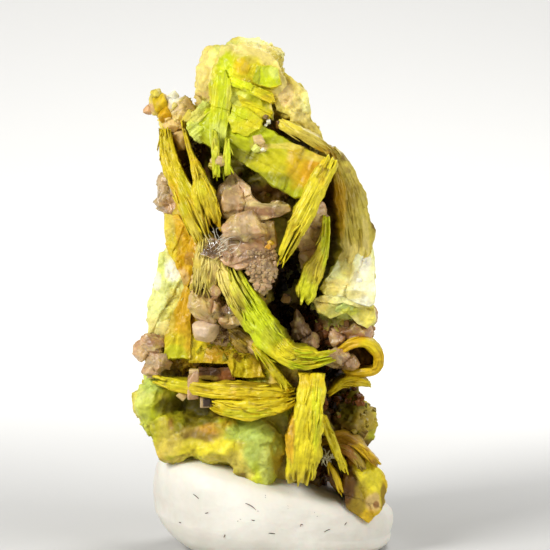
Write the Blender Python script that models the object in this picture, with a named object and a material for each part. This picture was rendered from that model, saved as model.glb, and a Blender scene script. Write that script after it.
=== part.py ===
"""A uranocircite specimen: books of yellow-green plates and lumps of smoky quartz that grew together in one
piece, held upright in a pad of white mineral tack.

Sizes are in millimetres. A place is written as it is seen from the front: how far across, how high up,
and how deep, where a negative depth is towards the viewer."""

import math

import bmesh
import bpy
import numpy as np
from mathutils import Vector, noise

MM = 0.001

# Driving dimensions
FRONT_TILT = math.radians(6.0)  # the front view looks down by this much
TACK_GAP = 0.1  # between the specimen and the tack that it is pressed into
PLATE_STEP = 0.09  # how far one plate of a book stands back from the next
END_STEP = 0.07  # the same at the two ends of a book
BOOK_ROOT = 0.4  # how much further a book reaches into the mass than out of it

# The main mass, one row for each height: height, left edge, right edge, front edge, back edge
MASS_SECTIONS = [
    (20.15, -1.0, 0.15, -0.5, 0.8),
    (19.75, -1.95, 0.6, -1.2, 1.5),
    (19.2, -2.35, 0.85, -1.6, 1.9),
    (18.4, -2.6, 1.15, -1.9, 2.3),
    (17.5, -2.6, 1.65, -2.0, 2.6),
    (16.6, -2.9, 2.0, -2.0, 2.9),
    (15.6, -3.35, 2.6, -1.8, 3.1),
    (14.5, -3.6, 3.1, -1.7, 3.2),
    (13.4, -3.6, 3.4, -1.8, 3.3),
    (12.2, -3.5, 3.5, -2.0, 3.4),
    (11.0, -3.85, 3.7, -2.2, 3.5),
    (9.8, -4.2, 4.05, -2.4, 3.6),
    (8.6, -4.4, 4.0, -2.4, 3.6),
    (7.4, -4.45, 3.65, -2.4, 3.6),
    (6.2, -4.85, 3.65, -2.5, 3.5),
    (5.0, -4.7, 3.75, -2.6, 3.3),
    (4.0, -3.95, 3.35, -2.6, 3.0),
    (3.0, -3.1, 2.8, -2.4, 2.4),
    (2.0, -1.9, 2.1, -1.7, 1.6),
]
MASS_TOP = (-0.4, 0.15, 20.3)
MASS_FOOT = (0.0, -0.1, 1.3)
MASS_SIDES = 26
MASS_SQUARENESS = 2.3  # 2 is an ellipse, and more is nearer to a rectangle
MASS_LUMP_SIZE = 1.5
MASS_LUMP_RISE = 0.55

# Hollows in the mass, as across, height, half width, half height, depth
FRONT_HOLLOWS = [
    (1.35, 10.1, 0.95, 1.7, 2.4),
    (-0.3, 14.4, 1.6, 0.7, 1.1),
    (2.55, 13.3, 0.7, 1.7, 1.6),
    (-1.9, 7.1, 1.5, 0.45, 1.0),
    (2.9, 6.0, 0.8, 1.2, 1.5),
    (-2.7, 15.6, 0.7, 0.8, 0.8),
]

# Lumps and small crystals that are one with the mass: across, height, depth, then half sizes
# across, in depth and in height
MASS_LUMPS = {
    "head_left": (-1.85, 18.6, -0.6, 0.95, 1.2, 1.15),
    "head_top": (-0.4, 19.35, -0.2, 1.15, 1.2, 0.85),
    "head_back": (-0.6, 18.0, 1.6, 1.4, 1.1, 1.4),
    "head_right": (1.15, 17.5, -0.9, 0.82, 1.2, 0.95),
    "shoulder_right": (1.75, 16.3, -0.7, 0.8, 1.3, 0.85),
    "arm_left": (-3.3, 17.2, -0.8, 0.85, 0.8, 0.9),
    "arm_left_tip": (-3.95, 17.65, -0.8, 0.62, 0.55, 0.6),
    "arm_left_low": (-3.35, 16.1, -0.5, 0.62, 0.9, 0.9),
    "cheek_left": (-3.2, 12.5, -1.3, 0.7, 1.1, 1.2),
    "crust_left_high": (-3.7, 10.6, -1.1, 0.85, 1.4, 1.3),
    "crust_left_low": (-3.95, 9.1, -1.2, 0.8, 1.5, 1.2),
    "crust_right_high": (3.5, 10.7, -1.2, 0.95, 1.5, 0.95),
    "crust_right_ledge": (3.15, 9.9, -1.8, 1.35, 1.3, 0.55),
    "crust_right_low": (3.55, 8.9, -1.0, 0.95, 1.3, 0.9),
    "lobe_outer": (-4.2, 5.9, -1.3, 1.1, 1.5, 1.35),
    "lobe_left": (-3.2, 4.6, -2.0, 1.3, 1.1, 1.1),
    "lobe_middle": (-1.7, 4.5, -2.5, 1.25, 1.0, 1.15),
    "lobe_right": (-0.2, 4.1, -2.7, 1.05, 0.9, 1.4),
    "lobe_tip": (0.1, 3.15, -2.6, 0.6, 0.6, 0.75),
    "knob_right": (3.65, 5.2, -0.5, 0.95, 1.0, 1.2),
    "back_high": (1.2, 15.9, 2.4, 1.3, 1.0, 1.3),
    "back_left": (-2.5, 14.0, 2.4, 1.3, 1.1, 1.7),
    "back_right": (2.8, 10.4, 2.6, 1.5, 1.2, 1.7),
    "back_middle": (-0.3, 7.6, 3.1, 1.6, 1.0, 1.3),
    "back_low_left": (-2.9, 6.0, 2.6, 1.5, 1.2, 1.5),
    "back_low_right": (1.7, 5.0, 2.5, 1.6, 1.1, 1.4),
}

GRAIN_POINTS = 24
GRAIN_JITTER = 0.16

EDGES_FORWARD = (0.0, -1.0, 0.0)
EDGES_BACK = (0.0, 1.0, 0.0)

# Books of plates. route is the middle line; thick is across the plates and wide is along them, at each
# point of the route; edges is the way that the plates' edges face.
BOOKS = {
    "diagonal_book": {
        "route": [(2.68, 15.6, -3.3), (2.16, 14.44, -3.45), (1.6, 13.36, -3.5), (1.12, 12.36, -3.4), (0.68, 11.3, -3.1)],
        "thick": [0.42, 0.55, 0.78, 0.62, 0.2],
        "wide": [1.0, 1.7, 1.9, 1.9, 1.3],
        "edges": EDGES_FORWARD,
        "plates": 4,
    },
    "bent_book": {
        "route": [(-1.5, 11.3, -2.7), (-0.95, 10.2, -3.1), (-0.3, 9.2, -3.3), (0.3, 8.4, -3.5), (0.95, 7.9, -3.6), (1.8, 7.62, -3.6), (2.75, 7.72, -3.5)],
        "thick": [0.6, 0.8, 0.95, 0.95, 0.85, 0.6, 0.2],
        "wide": [1.4, 1.6, 1.7, 1.7, 1.7, 1.6, 1.0],
        "edges": EDGES_FORWARD,
        "plates": 4,
    },
    "standing_book": {
        "route": [(1.96, 7.1, -3.6), (1.86, 6.1, -3.7), (1.68, 5.1, -3.7), (1.6, 4.0, -3.6), (1.64, 2.85, -3.4)],
        "thick": [0.72, 1.0, 1.4, 1.35, 0.95],
        "wide": [1.5, 1.7, 1.9, 1.8, 1.3],
        "edges": EDGES_FORWARD,
        "plates": 5,
    },
    "left_sheaf": {
        "route": [(-3.68, 16.6, -1.5), (-3.64, 15.8, -1.7), (-3.36, 14.9, -2.0), (-2.9, 14.0, -2.4), (-2.45, 13.0, -2.7), (-2.05, 12.1, -2.8)],
        "thick": [0.45, 0.62, 0.72, 0.75, 0.7, 0.4],
        "wide": [1.0, 1.4, 1.5, 1.5, 1.5, 1.1],
        "edges": EDGES_FORWARD,
        "plates": 4,
    },
    "inner_sheaf": {
        "route": [(-3.0, 16.2, -2.1), (-2.8, 15.4, -2.4), (-2.5, 14.6, -2.7), (-2.12, 13.7, -2.9), (-1.7, 12.5, -2.9)],
        "thick": [0.16, 0.3, 0.66, 0.72, 0.45],
        "wide": [0.8, 1.1, 1.5, 1.5, 1.2],
        "edges": EDGES_FORWARD,
        "plates": 3,
    },
    "large_plate_book": {
        "route": [(-2.0, 16.75, -2.3), (-0.95, 16.2, -2.55), (0.4, 15.5, -2.7), (1.9, 14.55, -2.7)],
        "thick": [0.7, 0.9, 0.9, 0.8],
        "wide": [1.7, 2.1, 2.2, 2.1],
        "edges": (0.45, 0.25, 0.85),
        "plates": 3,
        "root": 0.0,
    },
    "head_plate_book": {
        "route": [(-1.8, 18.2, -1.7), (-0.6, 18.35, -1.95), (0.55, 18.1, -1.65)],
        "thick": [0.5, 0.6, 0.5],
        "wide": [1.7, 2.3, 1.8],
        "edges": (0.1, 0.2, 1.0),
        "plates": 3,
        "root": 0.0,
    },
    "crest_book": {
        "route": [(-0.1, 17.25, -2.1), (1.0, 16.65, -2.15), (2.05, 15.9, -2.0)],
        "thick": [0.6, 0.75, 0.6],
        "wide": [1.2, 1.6, 1.5],
        "edges": EDGES_FORWARD,
        "plates": 3,
    },
    "right_shell_book": {
        "route": [(2.45, 15.9, -0.9), (3.1, 14.8, -0.9), (3.5, 13.5, -0.9), (3.55, 12.3, -0.9), (3.45, 11.2, -0.9)],
        "thick": [0.4, 0.5, 0.62, 0.7, 0.5],
        "wide": [2.6, 3.4, 3.6, 3.6, 2.8],
        "edges": EDGES_FORWARD,
        "plates": 4,
    },
    "hanging_blade": {
        "route": [(2.4, 14.1, -2.0), (2.3, 12.9, -2.2), (2.1, 11.7, -2.3), (1.8, 10.6, -2.4), (1.62, 9.9, -2.4)],
        "thick": [0.42, 0.52, 0.62, 0.55, 0.2],
        "wide": [1.3, 1.7, 1.9, 1.7, 1.2],
        "edges": EDGES_FORWARD,
        "plates": 3,
        "root": 0.9,
    },
    "flat_book_low": {
        "route": [(-2.0, 5.95, -2.9), (-0.9, 5.82, -3.1), (0.3, 5.9, -3.2), (1.4, 6.15, -3.1)],
        "thick": [0.3, 0.55, 0.52, 0.2],
        "wide": [1.4, 1.7, 1.7, 1.3],
        "edges": EDGES_FORWARD,
        "plates": 3,
    },
    "flat_book_high": {
        "route": [(-2.5, 6.55, -2.7), (-1.1, 6.5, -2.9), (0.3, 6.55, -3.0), (1.3, 6.62, -2.9)],
        "thick": [0.2, 0.34, 0.34, 0.18],
        "wide": [1.3, 1.6, 1.6, 1.2],
        "edges": EDGES_FORWARD,
        "plates": 2,
    },
    "cross_blade": {
        "route": [(-0.1, 8.0, -2.9), (0.52, 7.2, -3.1), (1.06, 6.4, -3.2)],
        "thick": [0.24, 0.34, 0.26],
        "wide": [1.1, 1.3, 1.1],
        "edges": EDGES_FORWARD,
        "plates": 2,
    },
    "splinter_blade": {
        "route": [(2.4, 5.4, -3.0), (2.72, 4.5, -3.1), (3.08, 3.7, -3.1), (3.34, 3.1, -3.0)],
        "thick": [0.24, 0.36, 0.34, 0.12],
        "wide": [0.8, 1.1, 1.1, 0.8],
        "edges": EDGES_FORWARD,
        "plates": 2,
    },
    "corner_book": {
        "route": [(3.4, 4.3, -1.7), (3.85, 3.5, -1.9), (4.15, 2.5, -2.0), (4.2, 1.35, -2.0)],
        "thick": [0.6, 1.35, 1.55, 0.6],
        "wide": [1.3, 2.0, 2.1, 1.3],
        "edges": (-0.3, -1.0, 0.0),
        "plates": 3,
    },
    "curled_blade": {
        "route": [(3.0, 7.95, -1.9), (3.6, 8.32, -2.0), (4.25, 8.3, -2.0), (4.66, 7.85, -1.9), (4.55, 7.3, -1.8), (3.9, 7.15, -1.7), (3.2, 7.1, -1.6)],
        "thick": [0.3, 0.34, 0.36, 0.36, 0.34, 0.32, 0.3],
        "wide": [1.2, 1.4, 1.4, 1.4, 1.3, 1.2, 1.1],
        "edges": EDGES_FORWARD,
        "plates": 2,
    },
    "shelf_blade": {
        "route": [(2.6, 6.45, -1.75), (3.15, 6.62, -1.8), (3.7, 6.62, -1.8), (4.2, 6.55, -1.75)],
        "thick": [0.2, 0.3, 0.32, 0.2],
        "wide": [1.5, 1.8, 1.7, 1.2],
        "edges": EDGES_FORWARD,
        "plates": 2,
        "root": 0.7,
    },
}

# Books on the back, which are one with the mass
BACK_BOOKS = {
    "back_book_high": {
        "route": [(-0.6, 18.2, 2.3), (-0.9, 16.8, 2.9), (-0.9, 15.3, 3.2), (-0.6, 13.9, 3.3)],
        "thick": [0.4, 0.8, 0.9, 0.5],
        "wide": [0.9, 1.5, 1.6, 1.3],
        "edges": EDGES_BACK,
        "plates": 3,
    },
    "back_book_slanting": {
        "route": [(2.3, 14.2, 2.9), (1.4, 13.0, 3.4), (0.5, 11.7, 3.6), (-0.4, 10.6, 3.5)],
        "thick": [0.5, 0.8, 0.8, 0.4],
        "wide": [1.1, 1.5, 1.6, 1.2],
        "edges": EDGES_BACK,
        "plates": 3,
    },
    "back_book_flat": {
        "route": [(-3.2, 9.7, 2.8), (-1.8, 9.3, 3.5), (-0.2, 9.0, 3.7), (1.2, 8.4, 3.6)],
        "thick": [0.3, 0.6, 0.6, 0.3],
        "wide": [1.1, 1.5, 1.6, 1.2],
        "edges": EDGES_BACK,
        "plates": 3,
    },
    "back_book_low": {
        "route": [(0.6, 7.4, 3.3), (0.2, 6.0, 3.5), (-0.3, 4.6, 3.1)],
        "thick": [0.5, 1.0, 0.6],
        "wide": [1.1, 1.5, 1.2],
        "edges": EDGES_BACK,
        "plates": 3,
    },
    "side_book_right": {
        "route": [(3.9, 9.6, 1.6), (3.9, 8.0, 1.7), (3.75, 6.4, 1.5)],
        "thick": [0.5, 0.8, 0.5],
        "wide": [1.0, 1.3, 1.1],
        "edges": (1.0, 0.3, 0.0),
        "plates": 3,
    },
    "side_book_left": {
        "route": [(-3.5, 13.2, 1.1), (-3.9, 11.8, 1.3), (-4.2, 10.2, 1.3)],
        "thick": [0.5, 0.8, 0.5],
        "wide": [1.0, 1.3, 1.1],
        "edges": (-1.0, 0.3, 0.0),
        "plates": 3,
    },
}

# Lumps of smoky quartz, each a few grains: across, height, depth, then half sizes across, in depth
# and in height
QUARTZ = {
    "quartz_peak": [(-1.2, 13.9, -2.9, 0.72, 0.8, 0.95), (-0.2, 13.75, -3.0, 0.85, 0.7, 0.42), (0.65, 13.6, -2.95, 0.45, 0.6, 0.32)],
    "quartz_centre": [(-0.62, 12.3, -3.5, 1.05, 0.95, 0.95), (-1.8, 12.0, -3.4, 0.5, 0.55, 0.48), (0.05, 11.2, -3.3, 0.66, 0.8, 0.8)],
    "quartz_left_high": [(-3.55, 14.7, -0.6, 0.6, 0.8, 0.55), (-3.5, 13.9, -0.7, 0.62, 0.8, 0.6)],
    "quartz_left_low": [(-4.45, 7.8, -1.7, 0.62, 0.8, 0.6), (-4.0, 7.2, -2.0, 0.45, 0.6, 0.5)],
    "quartz_pebble": [(-2.1, 8.75, -2.8, 0.62, 0.7, 0.55)],
    "quartz_tan": [(-2.25, 9.9, -2.7, 0.62, 0.7, 0.6)],
    "quartz_dark": [(-1.0, 9.3, -2.35, 0.5, 0.5, 0.45)],
    "quartz_right": [(2.95, 7.75, -2.35, 0.5, 0.6, 0.48), (3.6, 8.75, -1.9, 0.62, 0.7, 0.42)],
    "quartz_back": [(-1.9, 11.3, 3.2, 0.8, 0.7, 0.75)],
}

# The small quartz prism that stands on the flat books
PRISM_FOOT = (-2.75, 6.1, -3.2)
PRISM_LEAN = math.radians(4.0)
PRISM_LENGTH = 1.15
PRISM_RADIUS = 0.28

# The pad of tack: outline of its side, as share of its half width and share of its height
TACK_SIDE = [(0.0, 0.0), (0.72, 0.0), (0.88, 0.1), (0.97, 0.26), (1.0, 0.46), (0.998, 0.64), (0.97, 0.8), (0.88, 0.92), (0.6, 1.0), (0.0, 1.04)]
TACK_SEGMENTS = 32
TACK_HALF_WIDTH = 4.7
TACK_HALF_DEPTH = 4.2
TACK_MIDDLE = 0.4  # how far right of the foot's middle the pad is widest
TACK_FOOT_SHIFT = 0.55
TACK_HEIGHT_LEFT = 4.6
TACK_HEIGHT_RIGHT = 1.9

MATERIALS = {
    "uranocircite": ((0.62, 0.62, 0.06), 0.45),
    "crust": ((0.66, 0.6, 0.22), 0.6),
    "smoky_quartz": ((0.42, 0.3, 0.2), 0.3),
    "white_tack": ((0.82, 0.8, 0.74), 0.6),
}


def front(across, height, depth):
    """The place in space of a point that is given as it is seen from the front."""
    return Vector((across, depth, (height - depth * math.sin(FRONT_TILT)) / math.cos(FRONT_TILT)))


def material(name):
    found = bpy.data.materials.get(name)
    if found:
        return found
    colour, roughness = MATERIALS[name]
    made = bpy.data.materials.new(name)
    made.use_nodes = True
    shader = made.node_tree.nodes["Principled BSDF"]
    shader.inputs["Base Color"].default_value = (*colour, 1.0)
    shader.inputs["Roughness"].default_value = roughness
    shader.inputs["Metallic"].default_value = 0.0
    return made


def solid(name, points, faces, finish):
    """An object from points in millimetres, with its faces turned outwards."""
    mesh = bpy.data.meshes.new(name)
    mesh.from_pydata([Vector(point) * MM for point in points], [], faces)
    work = bmesh.new()
    work.from_mesh(mesh)
    bmesh.ops.recalc_face_normals(work, faces=work.faces)
    bmesh.ops.triangulate(work, faces=work.faces)
    work.to_mesh(mesh)
    work.free()
    mesh.materials.append(material(finish))
    made = bpy.data.objects.new(name, mesh)
    bpy.context.scene.collection.objects.link(made)
    return made


def rings_to_faces(rings, sides):
    """Quads between rings that have as many points each, and a fan of triangles at each pole."""
    faces = []
    for ring in range(rings - 1):
        for side in range(sides):
            following = (side + 1) % sides
            low = ring * sides
            faces.append((low + side, low + following, low + sides + following, low + sides + side))
    top = rings * sides
    last = (rings - 1) * sides
    for side in range(sides):
        following = (side + 1) % sides
        faces.append((top, following, side))
        faces.append((top + 1, last + side, last + following))
    return faces


def signed_power(value, power):
    return math.copysign(abs(value) ** power, value)


def mass_points(grow):
    """Rings of points down the main mass: a squarish outline at each height, roughened, with hollows."""
    points = []
    for height, left, right, near, far in MASS_SECTIONS:
        for side in range(MASS_SIDES):
            angle = 2 * math.pi * side / MASS_SIDES
            across = signed_power(math.cos(angle), 2 / MASS_SQUARENESS)
            deep = signed_power(math.sin(angle), 2 / MASS_SQUARENESS)
            middle_x, half_x = (left + right) / 2, (right - left) / 2 + grow
            middle_y, half_y = (near + far) / 2, (far - near) / 2 + grow
            x = middle_x + half_x * across
            y = middle_y + half_y * deep
            nearest = noise.voronoi(Vector((x, y, height)) / MASS_LUMP_SIZE)[0][0]
            rise = MASS_LUMP_RISE * (0.5 - nearest)
            x += rise * math.cos(angle)
            y += rise * math.sin(angle)
            if y < middle_y:
                for hollow_x, hollow_z, half_width, half_height, depth in FRONT_HOLLOWS:
                    away = ((x - hollow_x) / half_width) ** 2 + ((height - hollow_z) / half_height) ** 2
                    y += depth * math.exp(-away)
            points.append((x, y, height))
    points.append((MASS_TOP[0], MASS_TOP[1], MASS_TOP[2] + grow))
    points.append((MASS_FOOT[0], MASS_FOOT[1], MASS_FOOT[2] - grow))
    return points


def mass_core(name, grow):
    return solid(name, mass_points(grow), rings_to_faces(len(MASS_SECTIONS), MASS_SIDES), "crust")


def grain(name, place, finish, seed, grow):
    """An angular lump: the hull of points spread evenly over an ellipsoid, each moved in or out a little."""
    across, height, depth, half_x, half_y, half_z = place
    centre = front(across, height, depth)
    rng = np.random.default_rng(seed)
    work = bmesh.new()
    golden = math.pi * (3 - math.sqrt(5))
    for index in range(GRAIN_POINTS):
        up = 1 - 2 * (index + 0.5) / GRAIN_POINTS
        flat = math.sqrt(1 - up * up)
        turn = golden * index + rng.uniform(-0.25, 0.25)
        reach = 1 - GRAIN_JITTER * rng.random()
        work.verts.new(
            (
                centre.x + (half_x + grow) * reach * flat * math.cos(turn),
                centre.y + (half_y + grow) * reach * flat * math.sin(turn),
                centre.z + (half_z + grow) * reach * up,
            )
        )
    hull = bmesh.ops.convex_hull(work, input=work.verts)
    bmesh.ops.delete(work, geom=list({*hull["geom_interior"], *hull["geom_unused"]}), context="VERTS")
    work.verts.index_update()
    points = [tuple(vertex.co) for vertex in work.verts]
    faces = [tuple(vertex.index for vertex in face.verts) for face in work.faces]
    work.free()
    return solid(name, points, faces, finish)


def book(name, values, finish, seed, grow):
    """A book of plates: a comb-shaped section, one tooth for each plate, carried along the route.
    Each plate has its own reach to the front and back and its own two ends."""
    rng = np.random.default_rng(seed)
    route = [front(*point) for point in values["route"]]
    plates, stations = values["plates"], len(route)
    # A plate that reaches further than its neighbour does so on every side, so no face folds over another
    rank = rng.permutation(plates)
    drawn_back = PLATE_STEP * (rank[:, None] + 0.4 * rng.random((plates, stations)))
    uneven_front = 0.12 * rng.random(stations)
    uneven_back = 0.12 * rng.random(stations)
    ends = END_STEP * (plates - rank)
    edges = Vector(values["edges"]).normalized()
    points = []
    for station, middle in enumerate(route):
        before = route[max(station - 1, 0)]
        after = route[min(station + 1, stations - 1)]
        along = (after - before).normalized()
        wide_axis = (edges - along * edges.dot(along)).normalized()
        thick_axis = along.cross(wide_axis)
        limits = plate_limits(values["thick"][station], rank, grow)
        half_wide = values["wide"][station] / 2 + grow
        for plate in range(plates):
            push = 0.0
            if station == 0:
                push = -ends[plate] - grow
            if station == stations - 1:
                push = ends[plate] + grow
            reach_front = half_wide * (1 - uneven_front[station]) - drawn_back[plate, station]
            reach_back = half_wide * (1 - uneven_back[station]) - drawn_back[plate, station] + values.get("root", BOOK_ROOT)
            for across in (limits[plate], limits[plate + 1]):
                for reach in (reach_front, -reach_back):
                    points.append(middle + thick_axis * across + wide_axis * reach + along * push)
    return solid(name, points, book_faces(plates, stations), finish)


def plate_limits(thick, rank, grow):
    """Where the plates begin and end across a book. In a grown copy the line between two plates moves
    into the plate that stands back, so that the seam is as wide there as elsewhere."""
    plates = len(rank)
    limits = [-thick / 2 - grow]
    for plate in range(1, plates):
        shift = min(grow, 0.4 * thick / plates)
        limits.append(thick * (plate / plates - 0.5) + (shift if rank[plate - 1] < rank[plate] else -shift))
    return limits + [thick / 2 + grow]


def book_faces(plates, stations):
    """Faces of a book whose points run by station, plate, side of the plate, then front and back."""

    def at(station, plate, side, back):
        return ((station * plates + plate) * 2 + side) * 2 + back

    # The outline of the section, as (plate, side, back), round the comb
    outline = [(plate, side, 0) for plate in range(plates) for side in (0, 1)]
    outline += [(plate, side, 1) for plate in reversed(range(plates)) for side in (1, 0)]
    faces = []
    for station in range(stations - 1):
        for here, there in zip(outline, outline[1:] + outline[:1]):
            faces.append((at(station, *here), at(station, *there), at(station + 1, *there), at(station + 1, *here)))
    rungs = [(plate, side) for plate in range(plates) for side in (0, 1)]
    for station in (0, stations - 1):
        for here, there in zip(rungs, rungs[1:]):
            face = (at(station, *here, 0), at(station, *there, 0), at(station, *there, 1), at(station, *here, 1))
            faces.append(face if station else face[::-1])
    return faces


def prism(name, grow):
    """A six-sided quartz prism with a blunt pyramid at its top."""
    foot = front(*PRISM_FOOT)
    lean = Vector((math.sin(PRISM_LEAN), 0.0, math.cos(PRISM_LEAN)))
    points = []
    for share, width in ((0.0, 0.92), (0.1, 1.0), (0.86, 1.0), (1.0, 0.6)):
        for side in range(6):
            angle = math.pi * (side + 0.5) / 3
            reach = PRISM_RADIUS * width + grow
            height = PRISM_LENGTH * share + (grow if share == 1.0 else -grow if share == 0.0 else 0.0)
            points.append(foot + lean * height + Vector((math.cos(angle), math.sin(angle), 0)) * reach)
    points.append(foot - lean * grow)
    points.append(foot + lean * (PRISM_LENGTH * 1.03 + grow))
    return solid(name, points, rings_to_faces(4, 6), "smoky_quartz")


def tack_pad(name):
    """The pad: its side outline carried round, lower towards the right, with a flat foot on the surface."""
    points = []
    for share, rise in TACK_SIDE[1:-1]:
        for side in range(TACK_SEGMENTS):
            angle = 2 * math.pi * side / TACK_SEGMENTS
            uneven = 1 + 0.035 * math.sin(2 * angle + 0.7) + 0.02 * math.sin(3 * angle + 2.0)
            reach = share * (uneven if rise else 1.0)
            x = TACK_MIDDLE + TACK_FOOT_SHIFT * (1 - min(rise * 3, 1)) + TACK_HALF_WIDTH * reach * math.cos(angle)
            y = TACK_HALF_DEPTH * reach * math.sin(angle)
            points.append((x, y, rise * tack_height(x)))
    middle = TACK_MIDDLE + TACK_FOOT_SHIFT
    points.append((middle, 0.0, 0.0))
    points.append((TACK_MIDDLE, 0.0, TACK_SIDE[-1][1] * tack_height(TACK_MIDDLE)))
    return solid(name, points, rings_to_faces(len(TACK_SIDE) - 2, TACK_SEGMENTS), "white_tack")


def tack_height(across):
    share = (across - TACK_MIDDLE + TACK_HALF_WIDTH) / (2 * TACK_HALF_WIDTH)
    share = min(max(share, 0.0), 1.0)
    return TACK_HEIGHT_LEFT + (TACK_HEIGHT_RIGHT - TACK_HEIGHT_LEFT) * share


def combine(target, others, operation):
    """Joins others to target, or cuts them from it, and keeps the result as target's own mesh."""
    gathered = bpy.data.collections.new(target.name + "_" + operation.lower())
    for other in others:
        gathered.objects.link(other)
    step = target.modifiers.new(operation.lower(), "BOOLEAN")
    step.operation = operation
    step.operand_type = "COLLECTION"
    step.collection = gathered
    step.solver = "EXACT"
    step.material_mode = "TRANSFER"
    evaluated = target.evaluated_get(bpy.context.evaluated_depsgraph_get())
    result = bpy.data.meshes.new_from_object(evaluated)
    target.modifiers.clear()
    target.data = result
    bpy.data.collections.remove(gathered)
    for other in others:
        bpy.data.objects.remove(other)


def lowest(values):
    """The lowest height that a crystal reaches, to about a millimetre."""
    if isinstance(values, dict):
        return min(height for across, height, depth in values["route"])
    return min(grain_values[1] - grain_values[5] for grain_values in values)


def specimen(name, grow=0.0, below=math.inf):
    """Everything that grew together, in one solid. A copy that is only needed near its foot leaves out
    the crystals that stay above a height."""
    whole = mass_core(name, grow)
    crystals = []
    for seed, (label, place) in enumerate(MASS_LUMPS.items()):
        if lowest([place]) < below:
            crystals.append(grain(label, place, "crust", seed, grow))
    for seed, (label, values) in enumerate({**BOOKS, **BACK_BOOKS}.items()):
        if lowest(values) < below:
            crystals.append(book(label, values, "uranocircite", seed, grow))
    for seed, (label, grains) in enumerate(QUARTZ.items()):
        if lowest(grains) < below:
            crystals += [grain(label, place, "smoky_quartz", 10 * seed + index, grow) for index, place in enumerate(grains)]
    if PRISM_FOOT[1] < below:
        crystals.append(prism("quartz_prism", grow))
    combine(whole, crystals, "UNION")
    keep_largest(whole)
    return whole


def keep_largest(target):
    """Drops the crumbs and the sealed pockets that joining and cutting can leave."""
    work = bmesh.new()
    work.from_mesh(target.data)
    left = set(work.faces)
    groups = []
    while left:
        group, waiting = [], [left.pop()]
        while waiting:
            face = waiting.pop()
            group.append(face)
            for edge in face.edges:
                for neighbour in edge.link_faces:
                    if neighbour in left:
                        left.remove(neighbour)
                        waiting.append(neighbour)
        groups.append(group)
    groups.sort(key=len)
    crumbs = [face for group in groups[:-1] for face in group]
    bmesh.ops.delete(work, geom=crumbs, context="FACES")
    work.to_mesh(target.data)
    work.free()


def main():
    for old in list(bpy.data.objects):
        bpy.data.objects.remove(old)
    specimen("uranocircite_specimen")
    tack = tack_pad("mineral_tack_pad")
    bed = specimen("tack_bed", TACK_GAP, TACK_HEIGHT_LEFT + 1)
    combine(tack, [bed], "DIFFERENCE")
    keep_largest(tack)


main()
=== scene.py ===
# %% [markdown]
# # A uranocircite specimen
#
# The real thing is a splinter of an ore vein about two centimetres high. Uranocircite is a mineral that
# grows in thin plates, and the plates lie on each other like the pages of a book, so a crystal seen from
# its edge looks like a bundle of yellow fibres. Here many such books have grown every way through each
# other and through grains of smoky quartz, and a pinch of white tack holds the whole upright.
#
# A model like this is three different problems: the crust that everything sits on, the books, and the
# grains. Each one gets a formula of its own below, and each formula is worked out for all its points at
# once with numpy. The frame that is loaded first holds the plain solids, and each piece hides the solid it
# stands for.

# %% The frame and the units
import math

import bpy
import numpy as np
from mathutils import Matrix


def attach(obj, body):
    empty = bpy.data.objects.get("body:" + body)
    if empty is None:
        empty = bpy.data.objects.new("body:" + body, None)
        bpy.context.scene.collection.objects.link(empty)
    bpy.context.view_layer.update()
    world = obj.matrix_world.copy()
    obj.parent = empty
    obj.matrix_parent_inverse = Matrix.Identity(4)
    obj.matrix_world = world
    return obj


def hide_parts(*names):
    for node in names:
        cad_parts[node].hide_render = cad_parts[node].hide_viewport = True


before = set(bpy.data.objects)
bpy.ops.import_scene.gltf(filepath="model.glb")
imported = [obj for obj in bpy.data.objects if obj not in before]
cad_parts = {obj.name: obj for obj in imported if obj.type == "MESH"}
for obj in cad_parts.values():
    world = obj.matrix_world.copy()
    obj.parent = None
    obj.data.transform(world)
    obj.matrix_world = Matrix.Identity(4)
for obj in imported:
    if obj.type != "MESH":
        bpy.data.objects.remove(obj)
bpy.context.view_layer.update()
MM = 0.001
SPECIMEN = "uranocircite_specimen"
TACK = "mineral_tack_pad"
print("frame nodes:", sorted(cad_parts))

# %% [markdown]
# ## Places as the eye sees them
#
# The specimen is read from the front, so a place is given as how far across it is, how high up it looks,
# and how deep it lies, with a negative depth towards the viewer. The front view looks down by six
# degrees. A point that lies nearer therefore looks lower than it is, and one small function puts that
# right for any number of points.

# %% From front view to space
FRONT_TILT = math.radians(6.0)


def front(across, height, depth):
    """Millimetres in space: the height is raised or lowered so that the front view sees it as given."""
    across, height, depth = np.broadcast_arrays(across, height, depth)
    level = (height - depth * math.sin(FRONT_TILT)) / math.cos(FRONT_TILT)
    return np.stack([across, depth, level], axis=-1).astype(float)


def front_height(points):
    """The height at which the front view sees a point."""
    return points[..., 2] * math.cos(FRONT_TILT) + points[..., 1] * math.sin(FRONT_TILT)


print("seen at height 10 and 2 mm in front, a point lies at", front(0.0, 10.0, -2.0).round(2))

# %% [markdown]
# ## The camera
#
# Macro pictures of minerals are taken with a long lens from well away, so that near and far crystals
# keep their true proportions. A lens five times as long as the sensor is wide does that here, and its
# distance follows from how much height the picture has to show.

# %% Camera
SENSOR_WIDTH = 36.0
LENS_LENGTH = 180.0
VIEW_HEIGHT = 22.0
VIEW_MIDDLE = front(0.52, 10.96, 0.0)

camera_distance = LENS_LENGTH / SENSOR_WIDTH * VIEW_HEIGHT
camera_data = bpy.data.cameras.new("camera")
camera_data.lens = LENS_LENGTH
camera_data.sensor_width = SENSOR_WIDTH
camera_data.clip_start = 0.002
camera_data.clip_end = 5.0
camera = bpy.data.objects.new("camera", camera_data)
bpy.context.scene.collection.objects.link(camera)
camera_back = np.array([0.0, -math.cos(FRONT_TILT), math.sin(FRONT_TILT)])
camera.location = (VIEW_MIDDLE + camera_back * camera_distance) * MM
camera.rotation_euler = (math.radians(90.0) - FRONT_TILT, 0.0, 0.0)
bpy.context.scene.camera = camera
bpy.context.scene.view_settings.view_transform = "Standard"
print("camera distance in mm:", camera_distance)

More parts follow.
